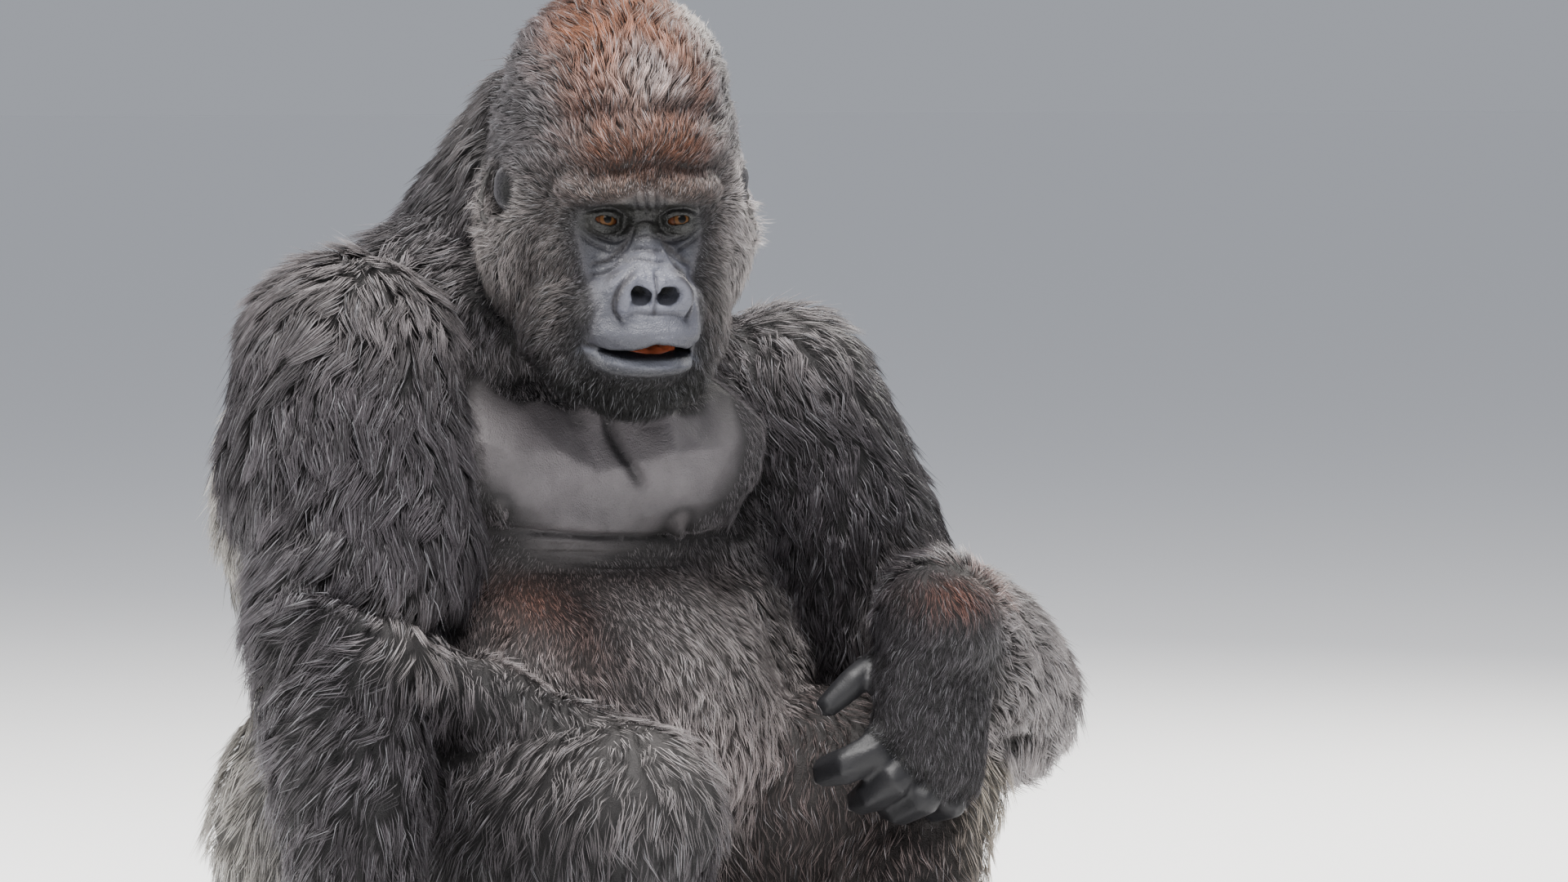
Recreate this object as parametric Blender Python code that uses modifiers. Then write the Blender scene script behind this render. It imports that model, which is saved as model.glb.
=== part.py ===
"""A life-size silverback gorilla, seated, with its left forearm hung over the raised left knee.

The outer surface of every solid is the tip of the coat, or the skin where the gorilla is bare.
Metres, +Z up. The gorilla faces -Y, its left side is +X, and the floor is z = 0.
"""

import math

import bmesh
import bpy
from mathutils import Euler, Matrix, Vector

# ---- Driving dimensions, in metres ----
GAP = 0.0005  # clearance that a solid leaves round the one that cuts into it
HEAD_GAP = 0.0010  # the same round the head
CUT_GAP = 0.0004  # width of the thin cut between two parts of one limb

HEAD_CENTRE = Vector((0.0, -0.25, 0.818))  # midway between the ears
HEAD_TURN = math.radians(-15)  # towards the right shoulder
HEAD_NOD = math.radians(14)  # the face hangs down by this much
EYE_SPACING = 0.068
EYE_RADIUS = 0.0125
EYE_DEPTH = 0.1035  # from the ear line to the centre of the eyeball
MOUTH_DROP = 0.114  # from the ear line down to the slit between the lips
EAR_SPREAD = 0.107  # from the middle of the head to the root of an ear
EAR_BACK = -0.010
EAR_RISE = 0.004
EAR_HALF_WIDTH = 0.0145
EAR_HALF_HEIGHT = 0.0205
EAR_FLARE = math.radians(42)  # how far the back of an ear stands off the head

NECK_FOOT = Vector((0.0, 0.02, 0.68))
NECK_CUT = Vector((0.0, -0.02, 0.745))  # where the neck parts from the chest
CREASE_HEIGHT = 0.468  # the fold under the breast muscles

SHOULDER = {"right": Vector((-0.222, -0.120, 0.655)), "left": Vector((0.270, -0.080, 0.612))}
UPPER_ARM = {"right": Vector((-0.224, -0.130, 0.560)), "left": Vector((0.322, -0.104, 0.490))}
BICEPS = {"right": Vector((-0.222, -0.160, 0.488)), "left": Vector((0.356, -0.100, 0.392))}
ELBOW = {"right": Vector((-0.268, -0.205, 0.410)), "left": Vector((0.474, -0.122, 0.306))}
WRIST = {"right": Vector((-0.290, -0.300, 0.062)), "left": Vector((0.294, -0.350, 0.412))}
HIP = {"right": Vector((-0.125, 0.000, 0.200)), "left": Vector((0.130, 0.000, 0.175))}
KNEE = {"right": Vector((-0.050, -0.376, 0.236)), "left": Vector((0.354, -0.200, 0.235))}
ANKLE = {"right": Vector((0.060, -0.150, 0.062)), "left": Vector((0.266, -0.330, 0.072))}

# Radii along a limb, tips of the coat included.
SHOULDER_RADII = {"right": (0.112, 0.133, 0.119, 0.096), "left": (0.096, 0.096, 0.098, 0.098)}
FOREARM_RADII = {"right": (0.094, 0.082, 0.044), "left": (0.098, 0.094, 0.064)}
THIGH_RADII = (0.148, 0.132, 0.095)
SHIN_RADII = (0.080, 0.080, 0.050)

PALM_LENGTH = 0.142
FINGER_SPACING = 0.0350
FINGER_RADII = (0.0178, 0.0176, 0.0160, 0.0130)
PHALANGES = (0.066, 0.046, 0.028)
FINGERS = {"index": 0.94, "middle": 1.0, "ring": 0.97, "little": 0.80}  # length beside the middle one
THUMB_PHALANGES = (0.050, 0.032)
THUMB_RADII = (0.0165, 0.0145, 0.0115)

FOOT_LENGTH = 0.150  # heel to the roots of the toes
TOE_SPACING = 0.0245
TOE_RADII = (0.0120, 0.0116, 0.0096)
TOE_PHALANGES = (0.034, 0.022)
TOES = {"second": 1.0, "third": 1.02, "fourth": 0.95, "little": 0.82}
BIG_TOE_RADII = (0.0205, 0.0190, 0.0155)
BIG_TOE_PHALANGES = (0.040, 0.030)
TOE_SINK = 0.0015  # how far a toe presses below the floor, which is then levelled

# Angles in degrees: how each finger bends at its knuckles, and how far the fingers spread.
HANDS = {
    "right": {
        "ahead": (-0.16, -1.0, -0.10),
        "palm": (0.10, 0.0, -1.0),
        "bends": ((4, 26, 20), (6, 28, 22), (8, 30, 24), (10, 32, 26)),
        "thumb_bends": (8, 20),
        "fan": 3.0,
    },
    "left": {
        "ahead": (-0.08, -0.09, -1.0),
        "palm": (-0.231, 0.972, 0.0),
        "fan": 5.0,
    },
}
# The left hand hangs loose: the joints of its curled digits, from the knuckle to the tip.
LOOSE_JOINTS = {
    "index": ((0.246, -0.341, 0.308), (0.220, -0.349, 0.281), (0.194, -0.343, 0.269), (0.184, -0.324, 0.263)),
    "middle": ((0.267, -0.351, 0.277), (0.237, -0.358, 0.255), (0.225, -0.341, 0.241), (0.226, -0.318, 0.233)),
    "ring": ((0.291, -0.353, 0.256), (0.269, -0.358, 0.236), (0.258, -0.336, 0.226), (0.261, -0.308, 0.226)),
    "little": ((0.321, -0.348, 0.252), (0.307, -0.349, 0.229), (0.302, -0.326, 0.223), (0.306, -0.305, 0.225)),
    "thumb": ((0.258, -0.307, 0.368), (0.216, -0.319, 0.346), (0.190, -0.316, 0.325)),
}
LOOSE_RADII = (0.0185, 0.0182, 0.0175, 0.0155)
FEET = {
    "right": {"ahead": (0.72, -0.66, 0.0), "bends": (10, 30)},
    "left": {"ahead": (0.42, -0.90, 0.0), "bends": (6, 26)},
}

# Triangles that each solid is thinned to before it is cut.
TRIANGLES = {"head": 1750, "eye": 80, "ear": 110, "tongue": 60, "trunk": 690, "arm": 510, "leg": 410}
TRIANGLES.update({"finger": 56, "toe": 40})
# Edge of the voxels that each form is melted with.
VOXELS = {"head": 0.0036, "face": 0.0028, "eye": 0.0020, "ear": 0.0020, "tongue": 0.0024, "digit": 0.0026}
VOXELS.update({"trunk": 0.0090, "arm": 0.0060, "leg": 0.0065})

SIDES = {"right": -1, "left": 1}

FUR = ("fur", (0.050, 0.048, 0.052, 1.0), 0.75)
SILVER = ("silver_fur", (0.160, 0.155, 0.150, 1.0), 0.75)
SKIN = ("bare_skin", (0.060, 0.058, 0.064, 1.0), 0.50)
EYE = ("eye", (0.150, 0.055, 0.012, 1.0), 0.08)
TONGUE = ("tongue", (0.450, 0.090, 0.040, 1.0), 0.30)


# ---- Shapes ----
def lump(form, centre, radii, turn=(0.0, 0.0, 0.0)):
    """Adds an ellipsoid, turned by degrees about X, Y and Z, to the form."""
    angles = Euler([math.radians(angle) for angle in turn])
    place = Matrix.LocRotScale(Vector(centre), angles, Vector(radii))
    bmesh.ops.create_icosphere(form, subdivisions=3, radius=1.0, matrix=place)


def pair(form, centre, radii, turn=(0.0, 0.0, 0.0)):
    """Adds the same ellipsoid on both sides of X = 0."""
    lump(form, centre, radii, turn)
    mirrored = (-centre[0], centre[1], centre[2])
    lump(form, mirrored, radii, (turn[0], -turn[1], -turn[2]))


def limb(form, points, radii):
    """Adds a ball at each point and a cone between each two, as round as the radii."""
    for point, radius in zip(points, radii):
        lump(form, point, (radius, radius, radius))
    for start, end, wide, narrow in zip(points, points[1:], radii, radii[1:]):
        run = Vector(end) - Vector(start)
        turn = run.to_track_quat("Z", "Y").to_matrix().to_4x4()
        place = Matrix.Translation((Vector(start) + Vector(end)) / 2) @ turn
        bmesh.ops.create_cone(
            form, cap_ends=True, segments=24, radius1=wide, radius2=narrow, depth=run.length, matrix=place
        )


def mixed(start, end, share):
    """The point that share of the way from start to end."""
    return Vector(start).lerp(Vector(end), share)


# ---- From a form to a solid ----
def material_for(finish):
    """The material of this name, made the first time it is asked for."""
    name, colour, roughness = finish
    material = bpy.data.materials.get(name)
    if material is None:
        material = bpy.data.materials.new(name)
        material.use_nodes = True
        shader = material.node_tree.nodes["Principled BSDF"]
        shader.inputs["Base Color"].default_value = colour
        shader.inputs["Roughness"].default_value = roughness
        shader.inputs["Metallic"].default_value = 0.0
    return material


def add_object(name, mesh, finish):
    """A new object in the gorilla's collection."""
    obj = bpy.data.objects.new(name, mesh)
    mesh.materials.clear()
    mesh.materials.append(material_for(finish))
    gorilla.objects.link(obj)
    return obj


def bake_modifiers(obj):
    """Gives the object the mesh that its modifiers make, and removes them."""
    graph = bpy.context.evaluated_depsgraph_get()
    made = bpy.data.meshes.new_from_object(obj.evaluated_get(graph))
    old = obj.data
    obj.modifiers.clear()
    obj.data = made
    bpy.data.meshes.remove(old)


def melt(name, form, finish, voxel, relax, triangles=None):
    """Turns overlapping shapes into one closed solid with soft creases, thinned out if asked."""
    mesh = bpy.data.meshes.new(name)
    form.to_mesh(mesh)
    form.free()
    obj = add_object(name, mesh, finish)
    remesh = obj.modifiers.new("one skin", "REMESH")
    remesh.mode = "VOXEL"
    remesh.voxel_size = voxel
    if relax:
        smooth = obj.modifiers.new("soft creases", "SMOOTH")
        smooth.factor = 0.5
        smooth.iterations = relax
    bake_modifiers(obj)
    if triangles:
        thin_out(obj, triangles)
    return obj


def thin_out(obj, triangles):
    """Collapses edges until the object has about this many triangles."""
    obj.data.calc_loop_triangles()
    decimate = obj.modifiers.new("fewer faces", "DECIMATE")
    decimate.ratio = min(1.0, triangles / len(obj.data.loop_triangles))
    decimate.use_collapse_triangulate = True
    bake_modifiers(obj)


def keep_largest(obj):
    """Removes the loose scraps that a cut leaves."""
    form = bmesh.new()
    form.from_mesh(obj.data)
    form.verts.ensure_lookup_table()
    seen = set()
    pieces = []
    for start in form.verts:
        if start in seen:
            continue
        piece, todo = [], [start]
        seen.add(start)
        while todo:
            vertex = todo.pop()
            piece.append(vertex)
            for edge in vertex.link_edges:
                other = edge.other_vert(vertex)
                if other not in seen:
                    seen.add(other)
                    todo.append(other)
        pieces.append(piece)
    pieces.sort(key=len)
    for piece in pieces[:-1]:
        bmesh.ops.delete(form, geom=piece, context="VERTS")
    form.to_mesh(obj.data)
    form.free()


def carve(target, cutter, gap=GAP):
    """Takes the cutter's space, and a gap round it, out of the target."""
    tool = add_cutter("cutter", cutter.data.copy())
    swell = tool.modifiers.new("clearance", "DISPLACE")
    swell.mid_level = 0.0
    swell.strength = gap
    cut = target.modifiers.new("cut", "BOOLEAN")
    cut.operation = "DIFFERENCE"
    cut.solver = "EXACT"
    cut.object = tool
    bake_modifiers(target)
    bpy.data.objects.remove(tool)
    keep_largest(target)


def cutter_of(name, form):
    """A cutter made of the form."""
    mesh = bpy.data.meshes.new(name)
    form.to_mesh(mesh)
    form.free()
    return add_cutter(name, mesh)


def add_cutter(name, mesh):
    """A new object in the cutters' collection."""
    tool = bpy.data.objects.new(name, mesh)
    tool.hide_render = True
    tool.display_type = "WIRE"
    cutters.objects.link(tool)
    return tool


def cut_flat(form, point, normal):
    """Takes off what lies behind the plane and closes the cut with a flat."""
    cut = bmesh.ops.bisect_plane(
        form,
        geom=form.verts[:] + form.edges[:] + form.faces[:],
        dist=1e-6,
        plane_co=point,
        plane_no=normal,
        clear_inner=True,
    )
    rim = [item for item in cut["geom_cut"] if isinstance(item, bmesh.types.BMEdge)]
    bmesh.ops.triangle_fill(form, edges=rim, use_beauty=True, normal=-normal)
    bmesh.ops.recalc_face_normals(form, faces=form.faces)


def part_off(whole, name, point, normal, finish):
    """Cuts the whole at a plane. The side that the normal points to becomes a new object."""
    normal = Vector(normal).normalized()
    offcut = add_object(name, whole.data.copy(), finish)
    for obj, direction in ((offcut, normal), (whole, -normal)):
        form = bmesh.new()
        form.from_mesh(obj.data)
        cut_flat(form, Vector(point) + direction * CUT_GAP / 2, direction)
        form.to_mesh(obj.data)
        form.free()
        keep_largest(obj)
    return offcut


def rest_on_floor(obj):
    """Levels what reaches below z = 0, so that the object stands on a flat."""
    if min(vertex.co.z for vertex in obj.data.vertices) >= 0:
        return
    form = bmesh.new()
    form.from_mesh(obj.data)
    cut_flat(form, Vector((0, 0, 0)), Vector((0, 0, 1)))
    form.to_mesh(obj.data)
    form.free()
    keep_largest(obj)


# ---- Head ----
def head_place():
    """From the head's own frame, face towards -Y and ears on X, to where the head is."""
    turn = Matrix.Rotation(HEAD_TURN, 4, "Z") @ Matrix.Rotation(HEAD_NOD, 4, "X")
    return Matrix.Translation(HEAD_CENTRE) @ turn


def head_form():
    """Skull, crest, cheeks, brow, nose and jaws, before anything is cut out."""
    form = bmesh.new()
    lump(form, (0, 0.030, 0.040), (0.119, 0.150, 0.115))  # braincase
    lump(form, (-0.002, 0.020, 0.092), (0.107, 0.124, 0.098))  # crest with its cap of hair
    lump(form, (0, -0.058, 0.058), (0.084, 0.066, 0.052))  # hair over the forehead
    pair(form, (0.072, 0.002, -0.034), (0.064, 0.084, 0.106))  # temples and cheeks
    pair(form, (0.052, -0.048, -0.108), (0.052, 0.076, 0.068))  # hair over the jaw muscles
    lump(form, (0, -0.058, -0.010), (0.088, 0.058, 0.070))  # face behind the eyes
    pair(form, (0.037, -0.102, 0.029), (0.046, 0.025, 0.018), (0, 9, 18))  # brow ridge
    lump(form, (0, -0.108, 0.027), (0.034, 0.022, 0.019))  # brow over the nose
    pair(form, (0.050, -0.070, -0.044), (0.046, 0.040, 0.044), (0, 20, 0))  # cheekbones
    pair(form, (0.050, -0.072, -0.084), (0.048, 0.052, 0.048))  # cheeks beside the muzzle
    lump(form, (0, -0.110, -0.020), (0.021, 0.024, 0.044), (-24, 0, 0))  # bridge of the nose
    pair(form, (0.020, -0.112, -0.050), (0.024, 0.030, 0.034), (-20, 0, 0))  # sides of the nose
    lump(form, (0, -0.138, -0.043), (0.026, 0.026, 0.020))  # nose above its wings
    pair(form, (0.0215, -0.152, -0.057), (0.0190, 0.022, 0.0215))  # wings of the nose
    lump(form, (0, -0.163, -0.056), (0.010, 0.012, 0.016))  # tip between the nostrils
    lump(form, (0, -0.105, -0.092), (0.065, 0.074, 0.052))  # muzzle
    pair(form, (0.028, -0.128, -0.082), (0.035, 0.038, 0.032))  # muzzle beside the nose
    lump(form, (0, -0.145, -0.096), (0.056, 0.040, 0.024))  # upper lip
    lump(form, (0, -0.138, -0.131), (0.051, 0.042, 0.020))  # lower lip
    lump(form, (0, -0.104, -0.154), (0.056, 0.056, 0.042))  # chin and its beard
    pair(form, (0.034, -0.074, -0.140), (0.052, 0.066, 0.050))  # corners of the jaw
    lump(form, (0, -0.040, -0.125), (0.080, 0.076, 0.058))  # throat
    return form


def head_hollows():
    """Eye sockets, nostrils, the slit of the mouth and the hollows in the hair that the ears sit in."""
    form = bmesh.new()
    half = EYE_SPACING / 2
    pair(form, (half, -0.121, -0.002), (0.0240, 0.022, 0.0130), (0, 6, 0))
    pair(form, (half, -0.108, -0.001), (0.0150, 0.020, 0.0085), (0, 4, 0))
    pair(form, (0.0135, -0.175, -0.058), (0.0110, 0.018, 0.0100), (0, 24, 0))
    lump(form, (0.002, -0.160, -MOUTH_DROP), (0.0630, 0.048, 0.0052))
    pair(form, (EAR_SPREAD + 0.014, EAR_BACK - 0.002, EAR_RISE), (0.018, 0.028, 0.030))
    pair(form, (EAR_SPREAD + 0.008, EAR_BACK - 0.022, EAR_RISE), (0.012, 0.020, 0.024))
    return cutter_of("head_hollows", form)


def eye_form(side):
    """One eyeball in the head's frame."""
    form = bmesh.new()
    lump(form, (side * EYE_SPACING / 2, -EYE_DEPTH, -0.001), (EYE_RADIUS,) * 3)
    return form


def ear_form(side):
    """One ear in the head's frame: a shell with a rolled rim that opens to the side and forwards."""
    form = bmesh.new()
    rim_points = []
    for step in range(9):
        angle = math.radians(-120 + step * 34)
        back = EAR_BACK + EAR_HALF_WIDTH * math.cos(angle)
        rise = EAR_RISE + EAR_HALF_HEIGHT * math.sin(angle)
        rim_points.append((side * (EAR_SPREAD + 0.0075), back, rise))
    limb(form, rim_points, (0.0045,) * len(rim_points))
    lump(form, (side * EAR_SPREAD, EAR_BACK, EAR_RISE), (0.008, EAR_HALF_WIDTH, EAR_HALF_HEIGHT))
    lump(form, (side * (EAR_SPREAD + 0.005), EAR_BACK - 0.011, EAR_RISE - 0.008), (0.006, 0.005, 0.007))
    hinge = Vector((side * EAR_SPREAD, EAR_BACK - 0.5 * EAR_HALF_WIDTH, EAR_RISE))
    swing = Matrix.Rotation(-side * EAR_FLARE, 3, "Z")
    bmesh.ops.rotate(form, verts=form.verts, cent=hinge, matrix=swing)
    return form


def hollow_out(head):
    """Cuts the hollows into the head and rounds their edges."""
    hollows = head_hollows()
    cut = head.modifiers.new("hollows", "BOOLEAN")
    cut.operation = "DIFFERENCE"
    cut.solver = "EXACT"
    cut.use_self = True
    cut.object = hollows
    remesh = head.modifiers.new("one skin", "REMESH")
    remesh.mode = "VOXEL"
    remesh.voxel_size = VOXELS["face"]
    smooth = head.modifiers.new("soft edges", "SMOOTH")
    smooth.factor = 0.5
    smooth.iterations = 3
    bake_modifiers(head)
    bpy.data.objects.remove(hollows)
    thin_out(head, TRIANGLES["head"])


def build_head():
    """The head with its jaw, ears, eyes and tongue, and a cutter of the space that the head takes."""
    head = melt("head", head_form(), FUR, VOXELS["head"], 5)
    hollow_out(head)
    space = add_cutter("space_of_head", head.data.copy())
    pieces = [head]
    for word, side in SIDES.items():
        eye = melt(f"eye_{word}", eye_form(side), EYE, VOXELS["eye"], 0, TRIANGLES["eye"])
        carve(head, eye)
        ear = melt(f"ear_{word}", ear_form(side), SKIN, VOXELS["ear"], 1, TRIANGLES["ear"])
        carve(ear, head)
        pieces += [eye, ear]
    tongue_form = bmesh.new()
    lump(tongue_form, (0.010, -0.140, -MOUTH_DROP), (0.024, 0.034, 0.0090))
    tongue = melt("tongue", tongue_form, TONGUE, VOXELS["tongue"], 1, TRIANGLES["tongue"])
    carve(tongue, head)
    pieces += [tongue, part_jaw(head)]
    for piece in [space, *pieces]:
        piece.data.transform(head_place())
    ears = [piece for piece in pieces if piece.name.startswith("ear_")]
    return space, ears


def part_jaw(head):
    """Cuts the lower jaw off along the line of the mouth and down behind the cheeks."""
    width, length, height = 0.40, 0.26, 0.20
    lip_line = Matrix.Translation((0, -0.150, -MOUTH_DROP)) @ Matrix.Rotation(math.radians(5), 4, "X")
    place = lip_line @ Matrix.Translation((0, 0, -height / 2)) @ Matrix.Diagonal((width, length, height, 1))
    box = bmesh.new()
    bmesh.ops.create_cube(box, size=1.0, matrix=place)
    wedge = cutter_of("jaw_wedge", box)
    jaw = add_object("jaw", head.data.copy(), FUR)
    keep = jaw.modifiers.new("jaw only", "BOOLEAN")
    keep.operation = "INTERSECT"
    keep.solver = "EXACT"
    keep.object = wedge
    bake_modifiers(jaw)
    keep_largest(jaw)
    carve(head, wedge)
    bpy.data.objects.remove(wedge)
    return jaw


# ---- Trunk ----
def build_trunk(head_space, ears):
    """Neck, chest and belly as one solid, from the nape to the rump."""
    form = bmesh.new()
    lump(form, (0.0, 0.050, 0.150), (0.205, 0.175, 0.165))  # pelvis
    pair(form, (0.125, 0.092, 0.180), (0.146, 0.146, 0.176))  # buttocks
    lump(form, (0.020, -0.072, 0.300), (0.232, 0.212, 0.195))  # belly
    lump(form, (0.0, 0.050, 0.350), (0.240, 0.200, 0.220))  # flanks and loins
    lump(form, (0.165, -0.055, 0.440), (0.085, 0.090, 0.120))  # fold of the left flank, under the arm
    lump(form, (0.187, -0.080, 0.382), (0.074, 0.080, 0.100))  # belly pushed out at the left elbow
    lump(form, (0.240, -0.100, 0.350), (0.042, 0.045, 0.058))  # hair between belly and left forearm
    lump(form, (0.0, 0.000, 0.535), (0.262, 0.205, 0.190))  # rib cage
    pair(form, (0.145, 0.072, 0.510), (0.132, 0.125, 0.165))  # broad muscles of the back
    pair(form, (0.092, -0.130, 0.556), (0.122, 0.102, 0.086), (0, -8, 0))  # breast muscles
    lump(form, (0.0, 0.070, 0.480), (0.200, 0.172, 0.180))  # middle of the back
    lump(form, (0.0, 0.065, 0.610), (0.225, 0.160, 0.150))  # upper back
    pair(form, (0.120, -0.030, 0.660), (0.112, 0.108, 0.085))  # yoke of the shoulders
    neck = (NECK_FOOT, (0.010, -0.066, 0.775), (0.022, -0.128, 0.856))
    limb(form, neck, (0.150, 0.132, 0.116))
    pair(form, (0.100, -0.058, 0.728), (0.090, 0.082, 0.075))  # slope from neck to shoulder
    pair(form, (0.080, -0.110, 0.690), (0.075, 0.080, 0.080))  # sides of the neck
    trunk = melt("abdomen", form, SILVER, VOXELS["trunk"], 8, TRIANGLES["trunk"])
    for piece in (head_space, *ears):
        carve(trunk, piece, HEAD_GAP)
    bpy.data.objects.remove(head_space)
    rest_on_floor(trunk)
    return trunk


def part_trunk(trunk):
    """Neck and chest come off the belly once everything that leans on them is cut."""
    part_off(trunk, "neck", NECK_CUT, (0, -0.42, 1), FUR)
    part_off(trunk, "chest", (0, -0.1, CREASE_HEIGHT), (0, -0.10, 1), SKIN)


# ---- Hands and feet ----
def digit_points(root, ahead, inward, lengths, bends):
    """Joints of a finger or toe that curls from the ahead direction to the inward one."""
    points = [Vector(root)]
    angle = 0.0
    for length, bend in zip(lengths, bends):
        angle += math.radians(bend)
        heading = ahead * math.cos(angle) + inward * math.sin(angle)
        points.append(points[-1] + heading * length)
    return points


def hand_axes(ahead, palm):
    """Unit directions of a hand: along the fingers, out of the palm, and across."""
    ahead = Vector(ahead).normalized()
    palm = Vector(palm)
    palm = (palm - palm.dot(ahead) * ahead).normalized()
    return ahead, palm, ahead.cross(palm)


def melt_digits(digits, palm, triangles):
    """Makes a solid of each finger or toe, cut by the palm or sole and by the digits before it."""
    made = []
    for name, form in digits.items():
        digit = melt(name, form, SKIN, VOXELS["digit"], 2, triangles)
        carve(digit, palm)
        for neighbour in made:
            carve(digit, neighbour)
        rest_on_floor(digit)
        made.append(digit)
    return made


def build_hand(word, arm_form):
    """Adds the palm to the arm's form and returns the forms of the five fingers."""
    pose = HANDS[word]
    wrist = WRIST[word]
    ahead, palm, across = hand_axes(pose["ahead"], pose["palm"])
    thumbward = across * (1 if word == "right" else -1)
    digits = {}
    for place, (finger, share) in enumerate(FINGERS.items()):
        offset = (1.5 - place) * FINGER_SPACING
        fan = math.radians(pose["fan"] * (1.5 - place))
        heading = (ahead * math.cos(fan) + thumbward * math.sin(fan)).normalized()
        root = wrist + heading * PALM_LENGTH * (0.7 + 0.3 * share) + thumbward * offset
        lengths = [length * share for length in PHALANGES]
        if word == "left":
            points, radii = [Vector(joint) for joint in LOOSE_JOINTS[finger]], LOOSE_RADII
            root = points[0]
        else:
            points, radii = digit_points(root, heading, palm, lengths, pose["bends"][place]), FINGER_RADII
        base = wrist + thumbward * offset * 0.60 + ahead * 0.012
        limb(arm_form, (base, mixed(base, root, 0.6), root), (0.030, 0.029, 0.0235))
        form = bmesh.new()
        limb(form, points, [radius * (0.84 if finger == "little" else 1.0) for radius in radii])
        digits[f"{finger}_finger_{word}"] = form
    if word == "left":
        thumb = [Vector(joint) for joint in LOOSE_JOINTS["thumb"]]
    else:
        thumb_base = wrist + ahead * 0.050 + thumbward * 0.056 + palm * 0.016
        thumb_ahead = (ahead * 0.80 + thumbward * 0.60).normalized()
        thumb = digit_points(thumb_base, thumb_ahead, palm, THUMB_PHALANGES, pose["thumb_bends"])
    limb(arm_form, (wrist + thumbward * 0.016 + palm * 0.006, thumb[0]), (0.030, 0.0200))
    form = bmesh.new()
    limb(form, thumb, THUMB_RADII)
    digits[f"thumb_{word}"] = form
    return digits


def build_foot(word, leg_form):
    """Adds the sole to the leg's form and returns the forms of the five toes."""
    pose = FEET[word]
    ahead = Vector(pose["ahead"]).normalized()
    up = Vector((0, 0, 1))
    inner = ahead.cross(up) * SIDES[word]  # towards the big toe
    ankle = ANKLE[word]
    heel = Vector((ankle.x, ankle.y, 0.030)) - ahead * 0.042
    limb(leg_form, (heel, Vector((ankle.x, ankle.y, 0.045))), (0.036, 0.042))
    digits = {}
    for place, (toe, share) in enumerate(TOES.items()):
        offset = (1.5 - place) * TOE_SPACING - 0.010
        root = heel + ahead * FOOT_LENGTH * (0.92 + 0.08 * share) + inner * offset
        root.z = 0.0145
        arch = ankle + ahead * 0.030 + inner * offset * 0.7
        arch.z = 0.048
        limb(leg_form, (heel + inner * offset * 0.5, arch, root), (0.028, 0.030, 0.0190))
        form = bmesh.new()
        lengths = [length * share for length in TOE_PHALANGES]
        points = digit_points(root, ahead, -up, lengths, pose["bends"])
        for point, radius in zip(points, TOE_RADII):
            point.z = radius - TOE_SINK
        limb(form, points, TOE_RADII)
        digits[f"{toe}_toe_{word}"] = form
    big_root = heel + ahead * 0.076 + inner * 0.046
    big_root.z = 0.0200
    limb(leg_form, (heel + inner * 0.01, big_root), (0.032, 0.0230))
    big_ahead = (ahead * 0.80 + inner * 0.60).normalized()
    points = digit_points(big_root, big_ahead, -up, BIG_TOE_PHALANGES, (4, 14))
    for point, radius in zip(points, BIG_TOE_RADII):
        point.z = radius - TOE_SINK
    form = bmesh.new()
    limb(form, points, BIG_TOE_RADII)
    digits[f"big_toe_{word}"] = form
    return digits


# ---- Arms and legs ----
def swell_between(form, start, end, share, radii, towards, shift):
    """Adds a muscle along a limb: a long ellipsoid pushed off the limb's line."""
    run = Vector(end) - Vector(start)
    turn = run.to_track_quat("Z", "Y")
    centre = mixed(start, end, share) + Vector(towards).normalized() * shift
    place = Matrix.LocRotScale(centre, turn, Vector(radii))
    bmesh.ops.create_icosphere(form, subdivisions=3, radius=1.0, matrix=place)


def build_arm(word, trunk):
    """Shoulder to wrist with the palm as one solid, and the five fingers."""
    side = SIDES[word]
    shoulder, elbow, wrist = SHOULDER[word], ELBOW[word], WRIST[word]
    form = bmesh.new()
    limb(form, (shoulder, UPPER_ARM[word], BICEPS[word], elbow), SHOULDER_RADII[word])
    limb(form, (elbow, mixed(elbow, wrist, 0.40), wrist), FOREARM_RADII[word])
    lump(form, shoulder + Vector((-0.050 * side, 0.040, -0.010)), (0.100, 0.105, 0.095))  # shoulder blade
    digits = build_hand(word, form)
    arm = melt(f"forearm_{word}", form, FUR, VOXELS["arm"], 5, TRIANGLES["arm"])
    carve(arm, trunk)
    rest_on_floor(arm)
    return arm, melt_digits(digits, arm, TRIANGLES["finger"])


def part_arm(word, arm):
    """Upper arm and hand come off the forearm, each at the plane that halves its joint."""
    shoulder, elbow, wrist = SHOULDER[word], ELBOW[word], WRIST[word]
    upward = (shoulder - elbow).normalized() - (wrist - elbow).normalized()
    part_off(arm, f"upper_arm_{word}", elbow, upward, FUR)
    ahead = Vector(HANDS[word]["ahead"]).normalized()
    onward = (wrist - elbow).normalized() + ahead
    part_off(arm, f"hand_{word}", wrist + ahead * 0.008, onward, SKIN)


def build_leg(word, cutting):
    """Hip to ankle with the sole as one solid, and the five toes."""
    hip, knee, ankle = HIP[word], KNEE[word], ANKLE[word]
    form = bmesh.new()
    limb(form, (hip, mixed(hip, knee, 0.55), knee), THIGH_RADII)
    limb(form, (knee, mixed(knee, ankle, 0.40), ankle), SHIN_RADII)
    back = (hip - knee).normalized()
    swell_between(form, knee, ankle, 0.45, (0.066, 0.066, 0.120), back, 0.030)  # calf
    swell_between(form, hip, knee, 0.40, (0.110, 0.110, 0.160), (0, 0, -1), 0.025)  # ham
    digits = build_foot(word, form)
    leg = melt(f"shin_{word}", form, FUR, VOXELS["leg"], 6, TRIANGLES["leg"])
    for other in cutting:
        carve(leg, other)
    rest_on_floor(leg)
    melt_digits(digits, leg, TRIANGLES["toe"])
    return leg


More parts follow.
